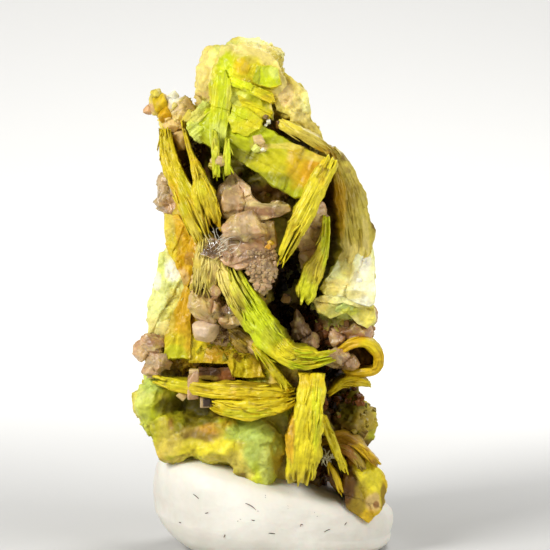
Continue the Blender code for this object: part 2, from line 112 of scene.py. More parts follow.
# %% [markdown]
# ## Noise that can be worked out for whole arrays
#
# Nothing on a mineral is smooth or even, so almost every shape and colour below is bent by noise. Two
# kinds do all the work. Smooth noise gives each corner of an endless lattice a random value and blends
# between them, which makes gentle swellings and stains. Cell noise scatters one point in each cube of
# the lattice and gives all places round it one slanted flat, which makes the blocky relief of a crust.

# %% Smooth noise and cell noise
CELL_PRIMES = (73856093, 19349663, 83492791)
SEED_PRIME = 2654435761
STIRRING_PRIME = 1274126177
KEPT_BITS = 0x7FFFFFFFFFFF
LAST_BITS = 0xFFFFF


def lattice_random(cell, seed):
    """A random number from 0 to 1 for each whole-numbered cell, always the same for the same seed. The
    cell's three numbers are each multiplied by a large prime and stirred, and the last bits are taken."""
    x, y, z = (cell[..., axis].astype(np.int64) * CELL_PRIMES[axis] for axis in range(3))
    mixed = x ^ y ^ z ^ (seed + 1) * SEED_PRIME
    mixed = (mixed ^ (mixed >> 13)) * STIRRING_PRIME & KEPT_BITS
    mixed = mixed ^ (mixed >> 15)
    return (mixed & LAST_BITS) / LAST_BITS


def smooth_noise(points, size, seed=0):
    """Random values at the corners of cubes of the given size, blended with an S-shaped ramp; -1 to 1."""
    scaled = np.asarray(points, float) / size
    cell = np.floor(scaled)
    part = scaled - cell
    part = part * part * (3.0 - 2.0 * part)
    total = np.zeros(scaled.shape[:-1])
    for corner in np.ndindex(2, 2, 2):
        weight = np.prod(np.where(np.array(corner) == 1, part, 1.0 - part), axis=-1)
        total += weight * lattice_random(cell + corner, seed)
    return total * 2.0 - 1.0


def layered_noise(points, size, seed=0, layers=3):
    """Smooth noise with finer and weaker noise laid over it, each layer half the size and half the height."""
    total = 0.0
    for layer in range(layers):
        total = total + smooth_noise(points, size / 2**layer, seed + 31 * layer) / 2**layer
    return total


def facet_noise(points, size, seed=0):
    """Flat facets at random slants. Each point belongs to the nearest of the scattered cell points, and its
    height is how far it lies from there along that cell's own random direction. The second value is the
    cell's own random number."""
    scaled = np.asarray(points, float) / size
    cell = np.floor(scaled)
    nearest = np.full(scaled.shape[:-1], np.inf)
    height = np.zeros(scaled.shape[:-1])
    mark = np.zeros(scaled.shape[:-1])
    for step in np.ndindex(3, 3, 3):
        at = cell + np.array(step) - 1.0
        offset = np.stack([lattice_random(at, seed + 7 * axis) for axis in range(3)], axis=-1)
        away = scaled - at - offset
        distance = np.linalg.norm(away, axis=-1)
        closer = distance < nearest
        slant = np.stack([lattice_random(at, seed + 40 + axis) for axis in range(3)], axis=-1) - 0.5
        height = np.where(closer, (away * slant).sum(-1), height)
        mark = np.where(closer, lattice_random(at, seed + 77), mark)
        nearest = np.where(closer, distance, nearest)
    return height, mark


def ramp(value, low, high):
    """0 below low, 1 above high, and an S-shaped rise between."""
    share = np.clip((value - low) / (high - low), 0.0, 1.0)
    return share * share * (3.0 - 2.0 * share)


def unit(vectors):
    """Each vector divided by its own length."""
    return vectors / np.maximum(np.linalg.norm(vectors, axis=-1, keepdims=True), 1e-9)


trial_line = np.linspace([0.0, 0.0, 0.0], [20.0, 7.0, 3.0], 200)
trial_noise = layered_noise(trial_line, 1.0)
print("layered noise along a line, from", trial_noise.min().round(2), "to", trial_noise.max().round(2))

# %% [markdown]
# ## The palette
#
# The plates run from lime through lemon to a deep amber where iron has stained them, and the crusts are
# cream and pale green. The hollows are painted nearly black, as shade. The colours are named here once and
# mixed in the cells below. They are written as they look on a screen and turned into light values for the
# shader.

# %% Colours
def screen_colour(red, green, blue):
    """A colour as it looks on a screen, 0 to 255, as the linear light that a shader works in. Dark values
    are divided by a number, and the others are raised to a power."""
    share = np.array([red, green, blue]) / 255.0
    return np.where(share <= 0.04045, share / 12.92, ((share + 0.055) / 1.055) ** 2.4)


LIME = screen_colour(182, 186, 16)
BRIGHT_LIME = screen_colour(200, 210, 22)
LEMON = screen_colour(216, 198, 28)
BRIGHT_LEMON = screen_colour(228, 212, 40)
GOLD = screen_colour(206, 174, 22)
AMBER = screen_colour(204, 158, 14)
ORANGE = screen_colour(204, 144, 28)
RUST = screen_colour(136, 82, 36)
# Brown serves real stains, and also painted shade in hollows, in gaps and under overhangs.
BROWN = screen_colour(98, 62, 18)
# Umber is the colour of the tack's dust specks, and also painted shade in hollows and at the books' roots.
UMBER = screen_colour(52, 32, 10)
# Painted shade: the near black of the deepest hollows.
PAINTED_SHADE_BLACK = screen_colour(16, 9, 5)
OLIVE = screen_colour(104, 94, 8)
MOSS = screen_colour(142, 140, 14)
LEAF = screen_colour(176, 192, 84)
PALE_GREEN = screen_colour(214, 220, 112)
CHALK = screen_colour(236, 234, 152)
CREAM = screen_colour(230, 210, 120)
PEACH = screen_colour(220, 186, 116)
STRAW = screen_colour(208, 190, 76)
KHAKI = screen_colour(170, 146, 46)
SAND = screen_colour(222, 188, 130)
SMOKE = screen_colour(188, 158, 110)
ROSE_SMOKE = screen_colour(206, 162, 116)
PALE_ROSE = screen_colour(222, 194, 160)
DARK_SMOKE = screen_colour(118, 90, 58)
WHITE = screen_colour(240, 234, 206)


def mix(first, second, share):
    """Share 0 is the first colour and 1 the second, for single colours or for one at each point."""
    share = np.clip(np.asarray(share, float), 0.0, 1.0)[..., None]
    return first * (1.0 - share) + second * share


print("lemon as light:", LEMON.round(3))

# %% [markdown]
# ## From arrays to pieces
#
# Each formula ends with a list of points and a list of faces. One function turns them into a Blender
# mesh and stores the colour of each point in an attribute that the materials read, and another puts the
# piece in the scene and hides the frame's plain solid that it stands for. A grid of points becomes faces by
# joining each point to its three neighbours, and a grid that is wrapped round closes on itself.

# %% Meshes
def grid_faces(rows, columns, wrap=False):
    """Quads of a grid whose points run row by row; wrap joins the last column to the first."""
    steps_across = columns if wrap else columns - 1
    row, column = np.meshgrid(np.arange(rows - 1), np.arange(steps_across), indexing="ij")
    here = row * columns + column
    right = row * columns + (column + 1) % columns
    return np.stack([here, right, right + columns, here + columns], axis=-1).reshape(-1, 4)


def fan_faces(rows, columns):
    """Triangles from a closed grid's first and last rows to one more point at each end."""
    column = np.arange(columns)
    following = (column + 1) % columns
    first_pole = rows * columns
    last = (rows - 1) * columns
    top = np.stack([following, column, np.full(columns, first_pole)], axis=-1)
    foot = np.stack([last + column, last + following, np.full(columns, first_pole + 1)], axis=-1)
    return np.concatenate([top, foot])


def joined(parts):
    """The points of several parts in one array, and their face lists with the numbers moved on to fit."""
    points, face_lists, count = [], [], 0
    for part_points, part_faces in parts:
        points.append(part_points)
        face_lists += [faces + count for faces in part_faces]
        count += len(part_points)
    return np.concatenate(points), face_lists


def make_mesh(name, points, face_lists, tint=None, smooth=True):
    """A mesh from points in millimetres and arrays of faces that have three or four corners each."""
    mesh = bpy.data.meshes.new(name)
    points = np.asarray(points, float).reshape(-1, 3)
    corners = np.concatenate([faces.ravel() for faces in face_lists])
    sizes = np.concatenate([np.full(len(faces), faces.shape[1]) for faces in face_lists])
    mesh.vertices.add(len(points))
    mesh.vertices.foreach_set("co", (points * MM).ravel())
    mesh.loops.add(len(corners))
    mesh.loops.foreach_set("vertex_index", corners.astype(np.int32))
    mesh.polygons.add(len(sizes))
    loop_starts = np.concatenate([[0], np.cumsum(sizes)[:-1]])
    mesh.polygons.foreach_set("loop_start", loop_starts.astype(np.int32))
    mesh.update(calc_edges=True)
    mesh.polygons.foreach_set("use_smooth", np.full(len(sizes), smooth))
    if tint is not None:
        layer = mesh.color_attributes.new("tint", "FLOAT_COLOR", "POINT")
        rgba = np.concatenate([np.asarray(tint).reshape(-1, 3), np.ones((len(points), 1))], axis=1)
        layer.data.foreach_set("color", rgba.astype(np.float32).ravel())
    mesh.validate()
    return mesh


def add_piece(name, mesh, material, node=SPECIMEN):
    """Puts a mesh in the scene as a piece that stands for one of the frame's solids."""
    mesh.materials.append(material)
    piece = bpy.data.objects.new(name, mesh)
    bpy.context.scene.collection.objects.link(piece)
    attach(piece, "root")
    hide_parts(node)
    print(name, "faces:", len(mesh.polygons))


def through(rows, share):
    """Reads a smooth curve through the rows of a table: share 0 is the first row and 1 the last.
    Each stretch is a cubic whose slope at a row is half the step from the row before to the row after."""
    rows = np.asarray(rows, float)
    place = np.clip(share, 0.0, 1.0) * (len(rows) - 1)
    start = np.clip(np.floor(place).astype(int), 0, len(rows) - 2)
    part = (place - start)[..., None]
    padded = np.concatenate([2 * rows[:1] - rows[1:2], rows, 2 * rows[-1:] - rows[-2:-1]])
    before, low, high, after = (padded[start + shift] for shift in range(4))
    slope_low, slope_high = (high - before) / 2, (after - low) / 2
    return (
        low * (2 * part**3 - 3 * part**2 + 1)
        + slope_low * (part**3 - 2 * part**2 + part)
        + high * (3 * part**2 - 2 * part**3)
        + slope_high * (part**3 - part**2)
    )

# %% [markdown]
# ## Materials
#
# Every mineral here lets some light in before it sends it back, so each material has a little scattering
# under its surface, and that is what makes the plates glow at their edges. The base colour comes from
# the tint stored on the mesh. Noise in the shader then breaks it up at a scale that is finer than the
# mesh: specks and stains in the colour, and a fine bump.

# %% Material helpers
NOISE_ROUGHNESS = 0.6
NOISE_LOW = 0.3
NOISE_HIGH = 0.7


def new_finish(name):
    """An empty material whose output shows one principled shader, and the lists of its nodes and links."""
    material = bpy.data.materials.new(name)
    material.use_nodes = True
    nodes, links = material.node_tree.nodes, material.node_tree.links
    nodes.clear()
    output = nodes.new("ShaderNodeOutputMaterial")
    shader = nodes.new("ShaderNodeBsdfPrincipled")
    links.new(shader.outputs["BSDF"], output.inputs["Surface"])
    return material, shader, nodes, links


def object_noise(nodes, links, feature, detail):
    """A noise texture on object coordinates whose blotches are about as wide as feature, in millimetres: its
    scale is half of one over that width."""
    place = nodes.new("ShaderNodeTexCoord")
    texture = nodes.new("ShaderNodeTexNoise")
    texture.inputs["Scale"].default_value = 0.5 / (feature * MM)
    texture.inputs["Detail"].default_value = detail
    texture.inputs["Roughness"].default_value = NOISE_ROUGHNESS
    links.new(place.outputs["Object"], texture.inputs["Vector"])
    return texture.outputs["Fac"]


def spread(nodes, links, value, to_low, to_high, low=NOISE_LOW):
    """Maps the stretch in which a noise mostly lies to another stretch, held at its ends."""
    node = nodes.new("ShaderNodeMapRange")
    node.inputs["From Min"].default_value = low
    node.inputs["From Max"].default_value = NOISE_HIGH
    node.inputs["To Min"].default_value = to_low
    node.inputs["To Max"].default_value = to_high
    links.new(value, node.inputs["Value"])
    return node.outputs["Result"]


def add_bump(nodes, links, shader, noise, strength, depth):
    """Shades the surface as if the noise stood out of it by a depth in millimetres."""
    bump = nodes.new("ShaderNodeBump")
    bump.inputs["Strength"].default_value = strength
    bump.inputs["Distance"].default_value = depth * MM
    links.new(noise, bump.inputs["Height"])
    links.new(bump.outputs["Normal"], shader.inputs["Normal"])


# %% [markdown]
# ## The five minerals
#
# One recipe serves them all, because they differ in amounts only. The plates are the glossiest of the
# yellow ones, the crusts scatter more light, and quartz lets a little light through. The tint is taken
# down slightly, since the scattering under the surface lightens it again.

# %% The minerals
TINT_SHARE = 0.91
BROAD_FEATURE = 0.45
FINE_FEATURE = 0.09
GLOSS_CHANGE = 0.12
BUMP_STRENGTH = 0.6
GLOW_REACH = (1.0, 0.85, 0.3)
MINERAL_IOR = 1.55


def tinted_mineral(name, roughness, scatter, glow_radius, speck, bump_height, through_light=0.0, shine=0.25):
    """A mineral whose colour is the mesh's tint times two noises, a broad and a fine one, that each run from
    one less speck to one plus speck. The fine one also changes the roughness and stands out as a bump."""
    material, shader, nodes, links = new_finish(name)
    tint = nodes.new("ShaderNodeAttribute")
    tint.attribute_name = "tint"
    broad = object_noise(nodes, links, BROAD_FEATURE, detail=2.0)
    fine = object_noise(nodes, links, FINE_FEATURE, detail=3.0)
    dark, light = 1.0 - speck, 1.0 + speck
    shade = nodes.new("ShaderNodeMath")
    shade.operation = "MULTIPLY"
    links.new(spread(nodes, links, broad, dark, light), shade.inputs[0])
    links.new(spread(nodes, links, fine, TINT_SHARE * dark, TINT_SHARE * light), shade.inputs[1])
    scaled = nodes.new("ShaderNodeVectorMath")
    scaled.operation = "SCALE"
    links.new(tint.outputs["Color"], scaled.inputs["Vector"])
    links.new(shade.outputs["Value"], scaled.inputs["Scale"])
    links.new(scaled.outputs["Vector"], shader.inputs["Base Color"])
    gloss = spread(nodes, links, fine, roughness - GLOSS_CHANGE, roughness + GLOSS_CHANGE)
    links.new(gloss, shader.inputs["Roughness"])
    add_bump(nodes, links, shader, fine, BUMP_STRENGTH, bump_height)
    shader.inputs["Subsurface Weight"].default_value = scatter
    shader.inputs["Subsurface Radius"].default_value = GLOW_REACH
    shader.inputs["Subsurface Scale"].default_value = glow_radius * MM
    shader.inputs["Transmission Weight"].default_value = through_light
    shader.inputs["IOR"].default_value = MINERAL_IOR
    shader.inputs["Specular IOR Level"].default_value = shine
    return material


plate_material = tinted_mineral(
    "uranocircite_plates", roughness=0.42, scatter=0.1, glow_radius=0.2, speck=0.12, bump_height=0.02)
crust_material = tinted_mineral(
    "crystal_crust", roughness=0.5, scatter=0.2, glow_radius=0.3, speck=0.14, bump_height=0.04)
waxy_material = tinted_mineral(
    "waxy_crust", roughness=0.5, scatter=0.4, glow_radius=0.5, speck=0.16, bump_height=0.05)
quartz_material = tinted_mineral(
    "smoky_quartz", roughness=0.38, scatter=0.3, glow_radius=0.5, speck=0.16, bump_height=0.03,
    through_light=0.15, shine=0.5)
clear_material = tinted_mineral(
    "clear_quartz", roughness=0.18, scatter=0.0, glow_radius=0.4, speck=0.05, bump_height=0.01,
    through_light=0.6, shine=0.5)
print("minerals:", [material.name for material in bpy.data.materials])

# %% [markdown]
# ## The mass under everything
#
# The body of the specimen is a crust with no flat faces of its own. Its core is a stack of squarish
# outlines, one for each height, joined by a smooth curve. Lumps are added as swollen ellipsoids with
# facets. Joining such shapes leaves hard creases that no crust has, so they are fused with a voxel
# remesh, which skins them all at once, and the skin is then relaxed a little and given its relief.

# %% Core of the mass
# Height, left edge, right edge, front edge, back edge
MASS_SECTIONS = [
    (20.28, -0.5, -0.3, 0.1, 0.3),
    (20.15, -1.0, 0.15, -0.5, 0.8),
    (19.75, -1.95, 0.6, -1.2, 1.5),
    (19.2, -2.35, 0.85, -1.6, 1.9),
    (18.4, -2.6, 1.15, -1.9, 2.3),
    (17.5, -2.6, 1.65, -2.0, 2.6),
    (16.6, -2.9, 2.0, -2.0, 2.9),
    (15.6, -3.35, 2.6, -1.8, 3.1),
    (14.5, -3.6, 3.1, -1.7, 3.2),
    (13.4, -3.6, 3.4, -1.8, 3.3),
    (12.2, -3.5, 3.5, -2.0, 3.4),
    (11.0, -3.85, 3.7, -2.2, 3.5),
    (9.8, -4.2, 4.05, -2.4, 3.6),
    (8.6, -4.4, 4.0, -2.4, 3.6),
    (7.4, -4.45, 3.65, -2.4, 3.6),
    (6.2, -4.85, 3.65, -2.5, 3.5),
    (5.0, -4.7, 3.75, -2.6, 3.3),
    (4.0, -3.95, 3.35, -2.6, 3.0),
    (3.0, -3.1, 2.8, -2.4, 2.4),
    (2.0, -1.9, 2.1, -1.7, 1.6),
    (1.3, -0.1, 0.1, -0.1, 0.1),
]
MASS_SQUARENESS = 2.3
MASS_POLES = [[-0.4, 0.15, 20.3], [0.0, 0.0, 1.25]]

# Across, height, half width, half height, depth
FRONT_HOLLOWS = [
    (1.35, 10.1, 0.95, 1.7, 2.4),
    (-0.3, 14.4, 1.6, 0.7, 1.1),
    (2.55, 13.3, 0.7, 1.7, 1.6),
    (-1.9, 7.1, 1.5, 0.45, 1.0),
    (2.9, 6.0, 0.8, 1.2, 1.5),
    (-2.7, 15.6, 0.7, 0.8, 0.8),
]


def mass_core(rows=150, columns=160):
    """Squarish outlines: the cosine and sine of the angle are raised to a power, which fills the corners.
    The front is then pushed in by a bell curve at each hollow."""
    section = through(MASS_SECTIONS, np.linspace(0.0, 1.0, rows))[:, None, :]
    angle = np.linspace(0.0, 2 * math.pi, columns, endpoint=False)[None, :]
    power = 2.0 / MASS_SQUARENESS
    across = np.sign(np.cos(angle)) * np.abs(np.cos(angle)) ** power
    deep = np.sign(np.sin(angle)) * np.abs(np.sin(angle)) ** power
    left, right, near, far = (section[..., column] for column in range(1, 5))
    middle_y = (near + far) / 2
    x = (left + right) / 2 + (right - left) / 2 * across
    y = middle_y + (far - near) / 2 * deep
    z = np.broadcast_to(section[..., 0], x.shape).copy()
    for hollow_x, hollow_z, half_width, half_height, depth in FRONT_HOLLOWS:
        bell = np.exp(-(((x - hollow_x) / half_width) ** 2) - ((z - hollow_z) / half_height) ** 2)
        y = y + np.where(y < middle_y, depth * bell, 0.0)
    points = np.concatenate([np.stack([x, y, z], axis=-1).reshape(-1, 3), MASS_POLES])
    return points, [grid_faces(rows, columns, wrap=True)[:, ::-1], fan_faces(rows, columns)[:, ::-1]]


mass_parts = [mass_core()]
print("points of the core:", len(mass_parts[0][0]))

# %% [markdown]
# ## Lumps on the core
#
# Crust swells into lobes, cheeks and knobs, and each of them is a lump at a place of its own. A lump starts
# as a sphere and is cut by flat faces that are drawn at random, so that it looks broken and not blown up.

# %% Lumps of the crust
# Across, height, depth, then half sizes across, in depth and in height
MASS_LUMPS = {
    "head_left": (-1.85, 18.55, -0.6, 0.78, 1.2, 1.1),
    "head_shoulder": (-1.6, 19.2, -0.5, 0.9, 1.1, 0.82),
    "head_top": (-0.42, 19.42, -0.2, 1.22, 1.2, 0.98),
    "head_back": (-0.6, 18.0, 1.6, 1.4, 1.1, 1.4),
    "head_right": (1.05, 17.6, -0.9, 0.76, 1.2, 0.9),
    "shoulder_right": (1.65, 16.4, -0.7, 0.72, 1.3, 0.75),
    "arm_left": (-3.3, 17.2, -0.8, 0.8, 0.8, 0.85),
    "arm_left_tip": (-3.95, 17.6, -0.8, 0.5, 0.5, 0.5),
    "arm_left_low": (-3.35, 16.1, -0.5, 0.62, 0.9, 0.9),
    "cheek_left": (-3.15, 12.7, -1.1, 0.55, 1.0, 1.1),
    "crust_left_high": (-3.5, 10.7, -0.9, 0.74, 1.1, 1.2),
    "crust_left_neck": (-3.35, 11.8, -1.0, 0.55, 1.0, 0.8),
    "crust_left_low": (-3.85, 9.2, -0.9, 0.68, 1.1, 1.1),
    "crust_right_high": (3.5, 10.8, -0.9, 0.9, 1.5, 1.35),
    "crust_right_ledge": (3.15, 9.9, -1.8, 1.3, 1.3, 0.55),
    "crust_right_low": (3.55, 8.9, -1.0, 0.9, 1.3, 0.9),
    "lobe_outer": (-4.1, 5.9, -1.3, 1.0, 1.5, 1.35),
    "lobe_left": (-3.2, 4.6, -2.0, 1.3, 1.1, 1.1),
    "lobe_middle": (-1.7, 4.5, -2.5, 1.25, 1.0, 1.15),
    "lobe_right": (-0.2, 4.1, -2.7, 1.05, 0.9, 1.4),
    "lobe_tip": (0.0, 3.05, -3.0, 0.52, 0.6, 0.65),
    "knob_right": (3.65, 5.2, -0.5, 0.9, 1.0, 1.2),
    "behind_curl": (3.95, 7.8, -0.6, 0.6, 0.9, 0.8),
    "back_high": (1.2, 15.9, 2.4, 1.3, 1.0, 1.3),
    "back_left": (-2.5, 14.0, 2.4, 1.3, 1.1, 1.7),
    "back_right": (2.8, 10.4, 2.6, 1.5, 1.2, 1.7),
    "back_middle": (-0.3, 7.6, 3.1, 1.6, 1.0, 1.3),
    "back_low_left": (-2.9, 6.0, 2.6, 1.5, 1.2, 1.5),
    "back_low_right": (1.7, 5.0, 2.5, 1.6, 1.1, 1.4),
    "apron": (-2.0, 16.85, -1.35, 0.85, 0.9, 0.75),
    "gold_wall": (-1.7, 7.9, -1.5, 2.0, 0.75, 1.0),
    "cheek_inner": (-2.4, 11.6, -1.6, 0.8, 0.8, 1.6),
    "under_plate": (0.1, 14.4, -1.8, 1.5, 0.8, 0.9),
    "corner_back": (3.85, 2.85, -1.5, 0.8, 0.9, 1.15),
}


def faceted_lump(place, seed, rows=40, columns=64, planes=16, sharpness=14.0, upright=False, longest=1.05):
    """A lump cut by flat faces: along each direction the surface lies where the nearest of a few random
    planes does, and a high power blends the planes so that their edges are a little worn. Six of the
    planes are those of a box, turned at random unless it stands upright. No corner reaches past longest."""
    across, height, depth, half_x, half_y, half_z = place
    rng = np.random.default_rng(seed)
    polar = (np.arange(rows)[:, None] + 0.5) / rows * math.pi
    angle = np.linspace(0.0, 2 * math.pi, columns, endpoint=False)[None, :]
    around = np.sin(polar)
    direction = np.broadcast_arrays(around * np.cos(angle), around * np.sin(angle), np.cos(polar))
    direction = np.stack(direction, axis=-1).reshape(-1, 3)
    direction = np.concatenate([direction, [[0.0, 0.0, 1.0], [0.0, 0.0, -1.0]]])
    normals = unit(rng.normal(size=(planes, 3)))
    turn = np.eye(3) if upright else np.linalg.qr(rng.normal(size=(3, 3)))[0]
    normals = np.concatenate([normals, turn, -turn])
    distance = rng.uniform(0.8, 1.0, len(normals))
    facing = np.maximum(direction @ normals.T, 0.0) / distance
    reach = np.minimum((facing**sharpness).sum(axis=1) ** (-1.0 / sharpness), longest)
    points = direction * reach[:, None] * np.array([half_x, half_y, half_z]) + front(across, height, depth)
    return points, [grid_faces(rows, columns, wrap=True), fan_faces(rows, columns)]


mass_parts += [faceted_lump(place, sum(name.encode())) for name, place in MASS_LUMPS.items()]
print("parts of the mass:", len(mass_parts))

# %% [markdown]
# ## Fusing, relaxing and roughening
#
# The remesh gives a skin of many thousand points that know nothing of the shapes they came from. From
# here on they are plain arrays: each point can be moved towards the middle of its neighbours, which relaxes
# a crease, or out along its normal by a noise, which gives the crust its grain. How far a point lies below
# the relaxed skin also tells where the hollows are, and painted shade is laid there. A few
# hollows between the books are then pushed in from the front.

# %% Fused mass
VOXEL = 0.075


def fused(parts):
    """One skin round all the parts, as arrays of points and of faces."""
    mesh = make_mesh("unfused", *joined(parts))
    holder = bpy.data.objects.new("unfused", mesh)
    bpy.context.scene.collection.objects.link(holder)
    skin = holder.modifiers.new("skin", "REMESH")
    skin.mode = "VOXEL"
    skin.voxel_size = VOXEL * MM
    graph = bpy.context.evaluated_depsgraph_get()
    result = bpy.data.meshes.new_from_object(holder.evaluated_get(graph))
    bpy.data.objects.remove(holder)
    co = np.empty(len(result.vertices) * 3, np.float32)
    result.vertices.foreach_get("co", co)
    corners = np.empty(len(result.loops), np.int32)
    result.loops.foreach_get("vertex_index", corners)
    bpy.data.meshes.remove(result)
    return co.reshape(-1, 3).astype(float) / MM, corners.reshape(-1, 4)


def face_pairs(faces):
    """Each face's sides as pairs of points, both ways round."""
    pairs = np.concatenate([faces[:, [side, (side + 1) % 4]] for side in range(4)])
    return np.concatenate([pairs, pairs[:, ::-1]])


def relaxed(points, pairs, rounds, strength=0.5):
    """Moves each point by a share of its way to the mean of its neighbours, a number of times."""
    near, far = pairs[:, 0], pairs[:, 1]
    count = np.bincount(near, minlength=len(points))[:, None]
    for _ in range(rounds):
        total = np.stack([np.bincount(near, points[far, axis], len(points)) for axis in range(3)], axis=1)
        points = points + strength * (total / count - points)
    return points


def point_normals(points, faces):
    """The mean of the faces' own normals round each point; a face's normal is the cross product of its
    diagonals."""
    across = np.cross(points[faces[:, 2]] - points[faces[:, 0]], points[faces[:, 3]] - points[faces[:, 1]])
    total = np.zeros_like(points)
    for corner in range(4):
        for axis in range(3):
            total[:, axis] += np.bincount(faces[:, corner], across[:, axis], len(points))
    return unit(total)


# Across, height, half width, half height, and how far the front is pushed in there
CARVINGS = [
    (0.3, 17.05, 0.45, 0.3, 0.7),
    (1.1, 16.65, 0.55, 0.3, 0.9),
    (2.0, 16.2, 0.55, 0.3, 0.9),
    (-2.6, 15.6, 0.55, 0.8, 0.8),
    (0.4, 14.2, 1.0, 0.4, 0.3),
    (2.6, 13.6, 0.55, 1.3, 0.8),
    (1.3, 10.2, 0.8, 1.5, 1.0),
    (2.2, 7.6, 0.6, 0.5, 0.9),
    (3.0, 6.4, 0.6, 0.6, 0.9),
    (2.6, 3.6, 0.5, 0.5, 0.6),
    (-1.6, 7.25, 1.1, 0.28, 0.6),
    (-2.9, 5.7, 0.9, 0.5, 0.45),
]

mass_points, mass_faces = fused(mass_parts)
mass_pairs = face_pairs(mass_faces)
mass_points = relaxed(mass_points, mass_pairs, 3)
for across, height, half_width, half_height, depth in CARVINGS:
    away = ((mass_points[:, 0] - across) / half_width) ** 2
    away = away + ((front_height(mass_points) - height) / half_height) ** 2
    mass_points[:, 1] += depth * np.exp(-away) * (1.0 - ramp(mass_points[:, 1], -0.5, 1.0))
print("fused mass points:", len(mass_points))

# %% [markdown]
# ## Two kinds of surface
#
# The crust is waxy and flows in soft lobes low on the left, on the left side, on the head and in one pale
# patch at the right. Everywhere else it is gritty: small blocky crystals side by side. A mask that fades
# over about half a millimetre chooses between the two reliefs.

# %% Relief of the mass
BLOCK_SIZE = 0.62
GRIT_SIZE = 0.27
DEEPEST_RELIEF = -0.35
HIGHEST_RELIEF = 0.25
SKIN_ROUNDS = 60


def waxy_share(points):
    """1 on the soft lobes low on the left of the front, on the left side's crusts, on the head and on the
    pale crust at the right, and 0 elsewhere."""
    across, height = points[:, 0], points[:, 2]
    lobes = (1.0 - ramp(height, 6.3, 7.0)) * (1.0 - ramp(across, 0.9, 1.5))
    left = (1.0 - ramp(across, -2.9, -2.5)) * ramp(height, 7.9, 8.5) * (1.0 - ramp(height, 13.2, 13.8))
    head = ramp(height + 0.3 * np.abs(across), 16.7, 17.3)
    right = ramp(across, 2.5, 2.9) * ramp(height, 9.3, 9.7) * (1.0 - ramp(height, 11.8, 12.4))
    near = 1.0 - ramp(points[:, 1], -0.2, 0.8)
    return np.clip((lobes + left + right) * near + head, 0.0, 1.0)


mass_normals = point_normals(mass_points, mass_faces)
waxy = waxy_share(mass_points)
block_height, block_mark = facet_noise(mass_points, BLOCK_SIZE, seed=3)
grit_height, grit_mark = facet_noise(mass_points, GRIT_SIZE, seed=4)
gritty_relief = (
    0.45 * block_height
    + 0.12 * (block_mark - 0.5)
    + 0.2 * grit_height
    + 0.05 * (grit_mark - 0.5)
    + 0.12 * layered_noise(mass_points, 1.3, seed=5)
)
waxy_relief = (
    0.1 * layered_noise(mass_points, 0.8, seed=6, layers=4)
    + 0.26 * block_height
    + 0.06 * (block_mark - 0.5)
    + 0.13 * grit_height
)
relief = np.clip(gritty_relief * (1.0 - waxy) + waxy_relief * waxy, DEEPEST_RELIEF, HIGHEST_RELIEF)
mass_skin = relaxed(mass_points, mass_pairs, SKIN_ROUNDS)
recess = np.einsum("ij,ij->i", mass_skin - mass_points, mass_normals)
mass_points = mass_points + mass_normals * relief[:, None]
print("relief from", relief.min().round(2), "to", relief.max().round(2), "mm")
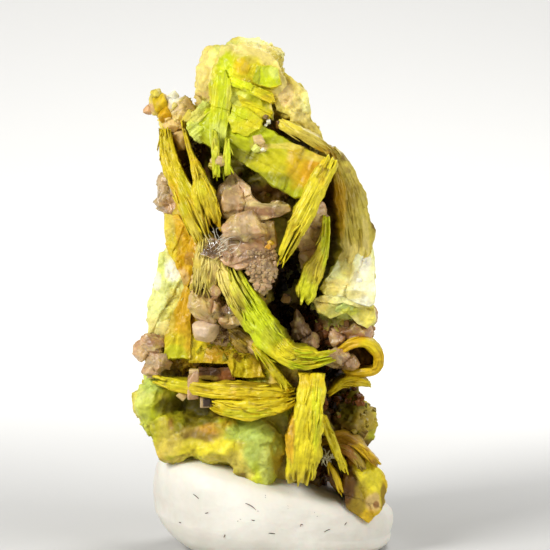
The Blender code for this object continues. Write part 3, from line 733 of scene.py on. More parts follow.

# %% [markdown]
# ## Staining the mass
#
# The base is a slow drift between straw, lime, cream and gold. Over it go named stains: soft oval
# patches, each where the real specimen shows that colour, with edges frayed by noise so that none looks
# painted. The darkest stains, in the hollows and crevices and under overhangs, are painted shade. They
# reach only the front half, and the back keeps the drift. The hollows are darkened further with painted
# shade.

# %% Tint of the mass
# Across, height, half width, half height, colour, strength
MASS_STAINS = [
    (-2.2, 18.6, 0.8, 1.5, CREAM, 0.95),
    (-2.2, 17.7, 0.6, 0.5, PEACH, 0.8),
    (-1.2, 19.8, 0.7, 0.5, PALE_GREEN, 0.6),
    (0.1, 19.8, 1.1, 0.5, CREAM, 0.9),
    (-0.3, 20.3, 0.6, 0.25, CHALK, 0.7),
    (0.75, 19.3, 0.5, 0.8, STRAW, 0.9),
    (1.5, 17.6, 0.7, 1.3, STRAW, 0.9),
    (1.5, 17.2, 0.4, 0.5, CREAM, 0.7),
    (2.3, 16.2, 0.5, 0.7, KHAKI, 0.8),
    # Painted shade in the crevice under the crest book
    (1.1, 16.7, 1.2, 0.35, BROWN, 0.9),
    (1.9, 16.2, 0.8, 0.3, UMBER, 0.9),
    (-1.9, 17.0, 1.2, 0.9, LIME, 0.6),
    (-2.1, 17.2, 0.7, 0.5, PALE_GREEN, 0.7),
    (-2.5, 16.7, 0.4, 0.5, STRAW, 0.7),
    (-1.9, 16.4, 0.7, 0.35, LEAF, 0.8),
    (-4.1, 17.9, 0.3, 0.3, STRAW, 0.9),
    (-3.9, 17.7, 0.35, 0.45, AMBER, 0.9),
    (-3.45, 18.0, 0.3, 0.35, WHITE, 0.95),
    (-3.4, 17.5, 0.25, 0.25, WHITE, 0.9),
    (-4.5, 17.5, 0.25, 0.25, ROSE_SMOKE, 0.8),
    (-3.0, 17.2, 0.6, 0.7, PEACH, 0.9),
    (-3.3, 16.5, 0.5, 0.4, PEACH, 0.9),
    (-2.6, 15.4, 0.8, 1.0, RUST, 0.9),
    (-2.5, 15.5, 0.4, 0.5, BROWN, 0.8),
    (-1.5, 15.5, 0.7, 0.7, MOSS, 0.8),
    # Painted shade under the large plate, partly the crust's own olive
    (-0.2, 14.7, 1.9, 0.7, OLIVE, 0.95),
    (0.4, 14.1, 1.3, 0.4, BROWN, 0.9),
    # Painted shade inside the right shell
    (2.6, 13.5, 0.8, 2.0, RUST, 0.85),
    (2.1, 11.9, 1.0, 1.0, BROWN, 0.8),
    (-2.8, 12.2, 1.2, 1.8, AMBER, 0.95),
    (-3.3, 12.9, 0.35, 0.5, GOLD, 0.8),
    (-3.5, 13.0, 0.3, 0.6, STRAW, 0.6),
    (-2.9, 11.5, 0.5, 0.4, RUST, 0.5),
    (-3.95, 10.4, 0.9, 2.2, CHALK, 0.95),
    (-3.4, 11.2, 0.4, 0.5, WHITE, 0.9),
    (-3.5, 9.4, 0.4, 0.8, STRAW, 0.7),
    (-2.9, 9.2, 0.55, 1.3, AMBER, 0.95),
    (-3.7, 8.7, 0.5, 0.5, CREAM, 0.9),
    (-1.7, 8.0, 2.2, 0.9, AMBER, 0.9),
    (-0.9, 7.6, 0.5, 0.6, LEMON, 0.8),
    (-2.6, 7.9, 0.4, 0.5, MOSS, 0.7),
    # Painted shade: the deep middle cavity, near black, and umber below it
    (1.4, 10.0, 1.2, 2.0, PAINTED_SHADE_BLACK, 1.0),
    (0.9, 8.9, 1.1, 0.9, UMBER, 0.95),
    (2.1, 9.2, 0.8, 0.5, RUST, 0.7),
    (3.6, 10.6, 1.2, 1.9, CHALK, 0.95),
    (3.0, 9.6, 1.0, 0.4, LEAF, 0.8),
    (4.1, 9.0, 0.3, 0.6, PALE_GREEN, 0.8),
    (3.4, 8.6, 0.9, 0.5, RUST, 0.95),
    # Painted shade in the hollows low on the right and in the band under the gold panel
    (2.6, 7.6, 0.9, 0.7, UMBER, 0.9),
    (-1.6, 7.15, 1.6, 0.35, BROWN, 1.0),
    (-1.9, 7.0, 0.6, 0.25, UMBER, 0.9),
    (2.9, 6.2, 1.0, 1.2, UMBER, 0.95),
    (4.1, 7.7, 0.8, 0.8, BROWN, 0.95),
    (3.7, 5.6, 0.6, 0.9, OLIVE, 0.95),
    (4.2, 5.1, 0.5, 0.6, KHAKI, 0.9),
    # Painted shade in the hollow beside the corner crystal
    (3.0, 3.3, 1.6, 1.6, BROWN, 0.9),
    (-4.7, 6.0, 0.35, 1.4, PALE_GREEN, 0.8),
    (-4.1, 5.4, 0.7, 1.1, LIME, 0.6),
    (-3.9, 4.9, 0.5, 0.5, KHAKI, 0.5),
    (-4.3, 6.7, 0.6, 0.4, LEAF, 0.8),
    # Painted shade in the olive hollow under the high flat book, partly the lobes' own olive
    (-2.9, 5.9, 1.3, 0.55, OLIVE, 0.95),
    (-2.6, 5.3, 0.7, 0.5, OLIVE, 0.9),
    (-3.3, 5.2, 0.3, 0.5, MOSS, 0.8),
    (-2.4, 4.75, 0.9, 0.35, KHAKI, 0.9),
    (-2.4, 4.65, 0.7, 0.3, BROWN, 0.5),
    (-2.0, 4.95, 0.6, 0.2, ORANGE, 0.5),
    (-1.2, 5.0, 0.5, 0.3, AMBER, 0.7),
    (-2.6, 4.15, 0.9, 0.35, BRIGHT_LEMON, 0.8),
    (-3.6, 4.4, 0.5, 0.6, STRAW, 0.7),
    (-1.5, 4.2, 0.7, 0.4, BRIGHT_LEMON, 0.7),
    (-1.0, 3.7, 0.7, 0.4, STRAW, 0.8),
    (-0.4, 4.9, 1.1, 0.5, LEAF, 0.9),
    (0.1, 4.2, 0.8, 1.0, LEAF, 0.9),
    (0.1, 3.0, 0.5, 0.7, BRIGHT_LIME, 0.7),
    (0.2, 3.5, 0.3, 0.9, PALE_GREEN, 0.8),
    (0.7, 3.5, 0.3, 0.6, KHAKI, 0.8),
    (-0.9, 2.9, 0.3, 0.4, BROWN, 0.7),
]


def drift(points, seed):
    """Straw, lime, cream and gold in slow clouds, with khaki and rust in the deepest of them."""
    first = smooth_noise(points, 2.0, seed) * 0.5 + 0.5
    second = layered_noise(points, 0.9, seed + 1) * 0.5 + 0.5
    third = layered_noise(points, 1.6, seed + 2)
    tint = mix(mix(STRAW, LIME, ramp(first, 0.35, 0.75)), mix(CREAM, GOLD, first), ramp(second, 0.45, 0.8))
    tint = mix(tint, mix(KHAKI, RUST, second), ramp(third, 0.1, 0.6) * 0.85)
    return mix(tint, CHALK, ramp(-third, 0.3, 0.8) * 0.6)


def stained(points, tint, stains):
    """Lays each stain over the tint: full at its middle, gone at its edge, and only on the front half."""
    fray = layered_noise(points, 0.6, seed=11) * 0.3
    height_seen = front_height(points)
    on_front = 1.0 - ramp(points[..., 1], -0.4, 1.2)
    for across, height, half_width, half_height, colour, strength in stains:
        away = np.hypot((points[..., 0] - across) / half_width, (height_seen - height) / half_height)
        tint = mix(tint, colour, strength * on_front * (1.0 - ramp(away + fray, 0.7, 1.2)))
    return tint


mass_tint = stained(mass_points, drift(mass_points, 12), MASS_STAINS)
mottle = 0.24 * (block_mark - 0.5) + 0.2 * (grit_mark - 0.5)
mass_tint = mass_tint * (1.0 + mottle * (1 - 0.7 * waxy))[:, None]
# Painted shade: the deeper a point lies below the relaxed skin, the more its colour is darkened towards
# brown.
mass_tint = mix(mass_tint, mass_tint * BROWN * 4.0, ramp(recess, 0.05, 0.5) * 0.6)
on_waxy = waxy_share(mass_points)[mass_faces].mean(axis=1) > 0.5
for part_name, chosen, material in (
    ("crust_mass", ~on_waxy, crust_material),
    ("waxy_lobes", on_waxy, waxy_material),
):
    part_faces = mass_faces[chosen]
    used, part_corners = np.unique(part_faces, return_inverse=True)
    part_mesh = make_mesh(part_name, mass_points[used], [part_corners.reshape(-1, 4)], mass_tint[used])
    add_piece(part_name, part_mesh, material)

# %% [markdown]
# ## A book of plates
#
# A book is a stack of thin plates that follow one route. Seen from the front we look at the plates'
# edges, so what matters is how unevenly they end: each plate starts and stops at its own place, wanders a
# little across the stack, and reaches out by its own amount, with a splintery rim. Plates that were made
# one by one would let the eye through between them. So a book is one closed tube along its route, whose
# front is stepped plate by plate on a grid, and a few loose splinters are laid on it.

# %% Axes and plates of a book
EDGES_FORWARD = (0.0, -1.0, 0.0)
EDGES_BACK = (0.0, 1.0, 0.0)


def book_axes(rows, share, edges):
    """The place on the route, and the directions across the plates and out to their edges."""
    here = through(rows, share)
    along = unit((through(rows, share + 0.01) - through(rows, share - 0.01))[..., :3])
    edge_axis = np.broadcast_to(np.asarray(edges, float), along.shape)
    wide_axis = unit(edge_axis - along * (edge_axis * along).sum(-1, keepdims=True))
    return here[..., :3], np.cross(along, wide_axis), wide_axis, here[..., 3], here[..., 4]


def plate_value(layer, plates, seed, wall=0.25):
    """A random value for each plate, from 0 to 1, with a short slope between one plate and the next."""
    place = (layer + 0.5) * plates
    whole = np.floor(place)
    part = ramp(place - whole, 1.0 - wall, 1.0)
    cell = np.stack([whole, np.zeros_like(whole), np.zeros_like(whole)], axis=-1)
    following = cell + np.array([1.0, 0.0, 0.0])
    return lattice_random(cell, seed) * (1.0 - part) + lattice_random(following, seed) * part


def book_rows(route):
    """The route with its places in space, and its length."""
    route = np.asarray(route, float)
    rows = np.concatenate([front(route[:, 0], route[:, 1], route[:, 2]), route[:, 3:]], axis=1)
    return rows, np.linalg.norm(np.diff(rows[:, :3], axis=0), axis=1).sum()

# %% [markdown]
# ## The front of a book
#
# The front is what one sees, so it gets nearly all the points. Every plate has a step of its own, and in
# real books the steps also change along a plate, where a piece of it has split off. The gaps between the
# plates are only grooves here, but they are darkened with painted shade, and that makes them look deep.

# %% Front of a book
BOOK_STATIONS = 112
BACK_STATIONS = 84
FEWEST_COLUMNS = 36
COLUMNS_PER_PLATE = 6
MOST_COLUMNS = 84
PLATE_PIECE = 1.1
RAGGED_SIDES = 0.13


def own_height(layers, place, plates, seed):
    """Each plate's own height from 0 to 1. Two fifths of it hold for the whole plate, and the rest changes
    from piece to piece along it."""
    drifting = layers + 0.03 * smooth_noise(place, 1.0, seed + 5)
    own = plate_value(drifting, plates, seed + 6)
    number = np.floor((drifting + 0.5) * plates)
    piece = np.floor(place[..., 0] / PLATE_PIECE + 5.0 * own)
    cell = np.stack([number, piece, np.zeros_like(number)], axis=-1)
    return 0.4 * own + 0.6 * lattice_random(cell, seed + 14)


def long_gaps(place, chips, gaps, seed):
    """1 in a gap between plates and 0 elsewhere. The gaps are where a noise drawn out along the book crosses
    zero, and only where a broad noise is high as well."""
    thread = np.stack([place[..., 0] * 0.3, place[..., 1] + 0.015 * chips, place[..., 2]], axis=-1)
    slot = ramp(1.0 - 6.0 * np.abs(smooth_noise(thread, 0.3, seed + 9)), 0.0, 1.0)
    return slot * ramp(layered_noise(place, 0.7, seed + 10), 0.4 - gaps, 0.8 - gaps)


def book_front(rows, length, plates, seed, edges, frayed, gaps, uneven):
    """The front as a grid of stations along the book and places across its plates. Its height is the crown,
    plus a step for each plate, plus fine grooves and chips, less the gaps; and each plate starts and ends at
    its own place. Books that face backwards get fewer stations."""
    stations = BACK_STATIONS if edges[1] > 0.0 else BOOK_STATIONS
    front_columns = min(MOST_COLUMNS, FEWEST_COLUMNS + COLUMNS_PER_PLATE * plates)
    layer = np.linspace(-0.5, 0.5, front_columns)[None, :]
    step = np.linspace(0.0, 1.0, stations)[:, None]
    start = frayed[0] * plate_value(layer, plates, seed) ** 1.5
    end = 1.0 - frayed[1] * plate_value(layer, plates, seed + 1) ** 1.5
    share = start + (end - start) * step
    middle, thick_axis, wide_axis, thick, wide = book_axes(rows, share, edges)
    layers = np.broadcast_to(layer, share.shape)
    own_slice = np.full(share.shape, float(seed))
    place = np.stack([share * length, layers * thick, own_slice], axis=-1)
    side_place = np.stack([share * length, np.sign(layers) * 3.0, own_slice], axis=-1)
    side_noise = layered_noise(side_place, 0.5, seed + 3, layers=4)
    wander = 0.04 * smooth_noise(place, 0.8, seed + 4)
    across = layers * (1.0 + RAGGED_SIDES * side_noise * ramp(np.abs(layers), 0.2, 0.5)) + wander
    own = own_height(layers, place, plates, seed)
    fine = layered_noise(place * np.array([0.25, 1.0, 1.0]), 0.12, seed + 7, layers=3)
    chips = layered_noise(place * np.array([0.6, 1.0, 1.0]), 0.3, seed + 8, layers=3)
    gap = long_gaps(place, chips, gaps, seed)
    belly = 1.0 - 0.12 * (np.abs(layers) * 2.0) ** 4
    near_end = np.minimum(1.0, np.minimum(step, 1.0 - step) / 0.06) ** 0.7
    reach = wide / 2 * belly * (0.82 + 0.18 * near_end)
    reach = reach + uneven * 2 * (own - 0.5) + 0.02 * fine + 0.09 * chips - 0.06 * gap
    surface = middle + thick_axis * (across * thick)[..., None] + wide_axis * reach[..., None]
    values = {"gap": gap, "own": own, "fine": fine, "layer": layers, "share": share}
    return surface, thick_axis, wide_axis, wide, side_place, values

# %% [markdown]
# ## Closing a book
#
# Behind the front, two walls of thin flakes run back to a root that is buried in the mass. Together they
# make one closed tube, whose ends close in a point each.

# %% Sides of a book
BOOK_SIDE_COLUMNS = 10
BOOK_ROOT = 0.4
# How much of the front's values the side walls keep
SIDE_SHARES = {"gap": 0.0, "own": 1.0, "fine": 0.3, "layer": 1.0, "share": 1.0}


def book_side(edge, outward, inward, surface, thick_axis, wide_axis, wide, side_place, seed):
    """One side wall, from an edge column of the front back to the root: it follows the book's width, has
    flakes that stand out, and leans in a little."""
    way = wide[:, [0]] * 0.9 + BOOK_ROOT
    way = way * (1.0 + 0.14 * layered_noise(side_place[:, [edge]] * 1.2, 0.7, seed + 12))
    run = inward * way
    along = side_place[:, [0], 0] * 0.7
    flake_place = np.stack(np.broadcast_arrays(along, run, outward * 5.0 + seed), axis=-1)
    flake = 0.07 * layered_noise(flake_place, 0.5, seed + 13, layers=4) * ramp(inward, 0.0, 0.15)
    wall = surface[:, [edge]] - wide_axis[:, [edge]] * run[..., None]
    return wall + thick_axis[:, [edge]] * (outward * (flake - 0.05 * inward))[..., None]


def solid_book(route, plates, seed, edges=EDGES_FORWARD, frayed=(0.12, 0.12), gaps=0.2, uneven=0.018):
    """A tube along the route whose section is a crowned front, two sides and a flat root. Rows of the route
    are across, height, depth, thickness and width. The values tell the colours, for each point, whether it
    is in a gap, its plate's own height, its grooves, its layer, its share along and how far back it is."""
    rows, length = book_rows(route)
    surface, *frame_of_book, extra = book_front(rows, length, plates, seed, edges, frayed, gaps, uneven)
    stations = len(surface)
    back = np.linspace(0.0, 1.0, BOOK_SIDE_COLUMNS + 1)[None, 1:]
    ring, depths = [surface], [np.zeros(surface.shape[:2])]
    for edge, outward, inward in ((-1, 1.0, back), (0, -1.0, back[:, ::-1])):
        ring.append(book_side(edge, outward, inward, surface, *frame_of_book, seed))
        depths.append(np.repeat(inward, stations, axis=0))
    ring, depths = np.concatenate(ring, axis=1), np.concatenate(depths, axis=1)
    columns = ring.shape[1]
    poles = np.stack([ring[0].mean(axis=0), ring[-1].mean(axis=0)])
    points = np.concatenate([ring.reshape(-1, 3), poles])
    faces = [grid_faces(stations, columns, wrap=True)[:, ::-1], fan_faces(stations, columns)[:, ::-1]]
    values = {"back": np.concatenate([depths.ravel(), [0.5, 0.5]])}
    for key, value in extra.items():
        kept = value[:, [-1, 0]] * SIDE_SHARES[key]
        filled = np.concatenate([value, np.repeat(kept, BOOK_SIDE_COLUMNS, axis=1)], axis=1).ravel()
        values[key] = np.concatenate([filled, [value[0].mean(), value[-1].mean()]])
    return points, faces, values

# %% [markdown]
# ## Splinters
#
# A few plates have come loose and lie on the front. They break the even edge of the tube, and they cost
# little: a flat tube of six sides each, all the splinters of a book in one array.

# %% Splinters
SPLINTER_STATIONS = 20
TUBE_SIDES = 6


def splinters_of_book(route, edges, count, seed):
    """Thin loose plates that lie on the book's front, each a flat tube with pointed ends. Its half width
    follows a half sine wave, and it leans and lifts a little along its length."""
    rng = np.random.default_rng(seed)
    rows, length = book_rows(route)
    side = np.sign(rng.normal(size=count))
    layer = (side * rng.uniform(0.0, 0.5, count))[:, None]
    run = rng.uniform(0.25, 0.9, count)[:, None] / length
    start = rng.uniform(0.0, 1.0, count)[:, None] * (1.0 - run)
    step = np.linspace(0.0, 1.0, SPLINTER_STATIONS)[None, :]
    share = start + run * step
    middle, thick_axis, wide_axis, thick, wide = book_axes(rows, share, edges)
    lean = rng.normal(0.0, 0.08, count)[:, None] + side[:, None] * 0.05
    across = layer * thick + lean * (step - 0.2)
    half = 0.03 * rng.uniform(0.5, 1.3, count)[:, None] * np.sin(math.pi * np.clip(step, 0.03, 0.97)) ** 0.7
    lift = rng.uniform(0.0, 0.08, count)[:, None] + 0.1 * (step - 0.3) * rng.normal(0.5, 0.5, count)[:, None]
    reach = wide / 2 * (1.0 - 0.25 * (np.abs(layer) * 2.0) ** 3) + lift
    deep, shoulder = reach - 0.4, reach - 0.02
    middle = middle + thick_axis * across[..., None]
    corners = [
        (-half, deep), (-half, shoulder), (-half * 0.4, reach),
        (half * 0.4, reach), (half, shoulder), (half, deep),
    ]
    rings = [middle + thick_axis * thin[..., None] + wide_axis * out[..., None] for thin, out in corners]
    return np.stack(rings, axis=2).reshape(-1, 3), tube_faces(count, SPLINTER_STATIONS)


def tube_faces(tubes, stations):
    """Quads round each six-cornered tube, and two quads to close each of its ends."""
    start = np.arange(tubes)[:, None, None] * stations * TUBE_SIDES
    station = np.arange(stations - 1)[None, :, None] * TUBE_SIDES
    corner = np.arange(TUBE_SIDES)[None, None, :]
    following = (corner + 1) % TUBE_SIDES
    here, there = start + station + corner, start + station + following
    sides = np.stack([here, there, there + TUBE_SIDES, here + TUBE_SIDES], axis=-1).reshape(-1, 4)
    last = (stations - 1) * TUBE_SIDES
    ends = []
    for tube_start in np.arange(tubes) * stations * TUBE_SIDES:
        for quad in ((0, 1, 2, 3), (0, 3, 4, 5)):
            ends.append([tube_start + point for point in reversed(quad)])
            ends.append([tube_start + last + point for point in quad])
    return np.concatenate([sides, np.array(ends)])

# %% [markdown]
# ## Colours of a book
#
# Uranocircite darkens where iron gets into it, and its gaps and roots are darkened with painted shade. So
# the colour is mixed from the same values that shaped the front, and both agree everywhere.

# %% Colours of a book
def book_tint(points, values, seed, ripe=0.2, low=LIME, high=LEMON, deep=AMBER, stains=(), streaks=0.18):
    """Clouds between two yellows with a small step from plate to plate; some places are stained deeper, thin
    dark streaks run along the plates, and the gaps and the roots are painted brown and umber as shade."""
    cloud = layered_noise(points, 1.1, seed) * 0.7 + 0.5
    grain = layered_noise(points, 0.15, seed + 3) * 0.5
    tint = mix(low, high, cloud * 0.7 + values["own"] * 0.3)
    tint = mix(tint, deep, ramp(cloud + 0.3 * values["own"] + grain * 0.3, 1.05 - ripe, 1.4 - ripe) * 0.8)
    tint = stained(points, tint, stains)
    streak_place = np.stack([values["share"] * 9.0, values["layer"] * 14.0, values["back"] * 8.0 + seed], -1)
    streak = ramp(layered_noise(streak_place, 1.0, seed + 8), 0.35, 0.8)
    tint = mix(tint, BROWN, streak * streaks)
    # Painted shade: brown in the gaps between the plates, and umber towards the roots at the back of the
    # walls.
    tint = mix(tint, BROWN, values["gap"] * 0.5)
    tint = mix(tint, UMBER, ramp(values["back"] + 0.1 * grain, 0.45, 1.1) * 0.75)
    return tint * (1.0 + 0.12 * grain + 0.08 * values["fine"])[:, None]

# %% [markdown]
# ## Where the books are
#
# Each route of the front was read off the real specimen from one end of a crystal to the other, with its
# thickness across the plates and its width along them. The books of the back and sides can't be seen there
# and are made like them. The number of plates goes with the thickness: six to twelve to the millimetre. A
# look is the colours of the book, and its stains are given as for the mass.

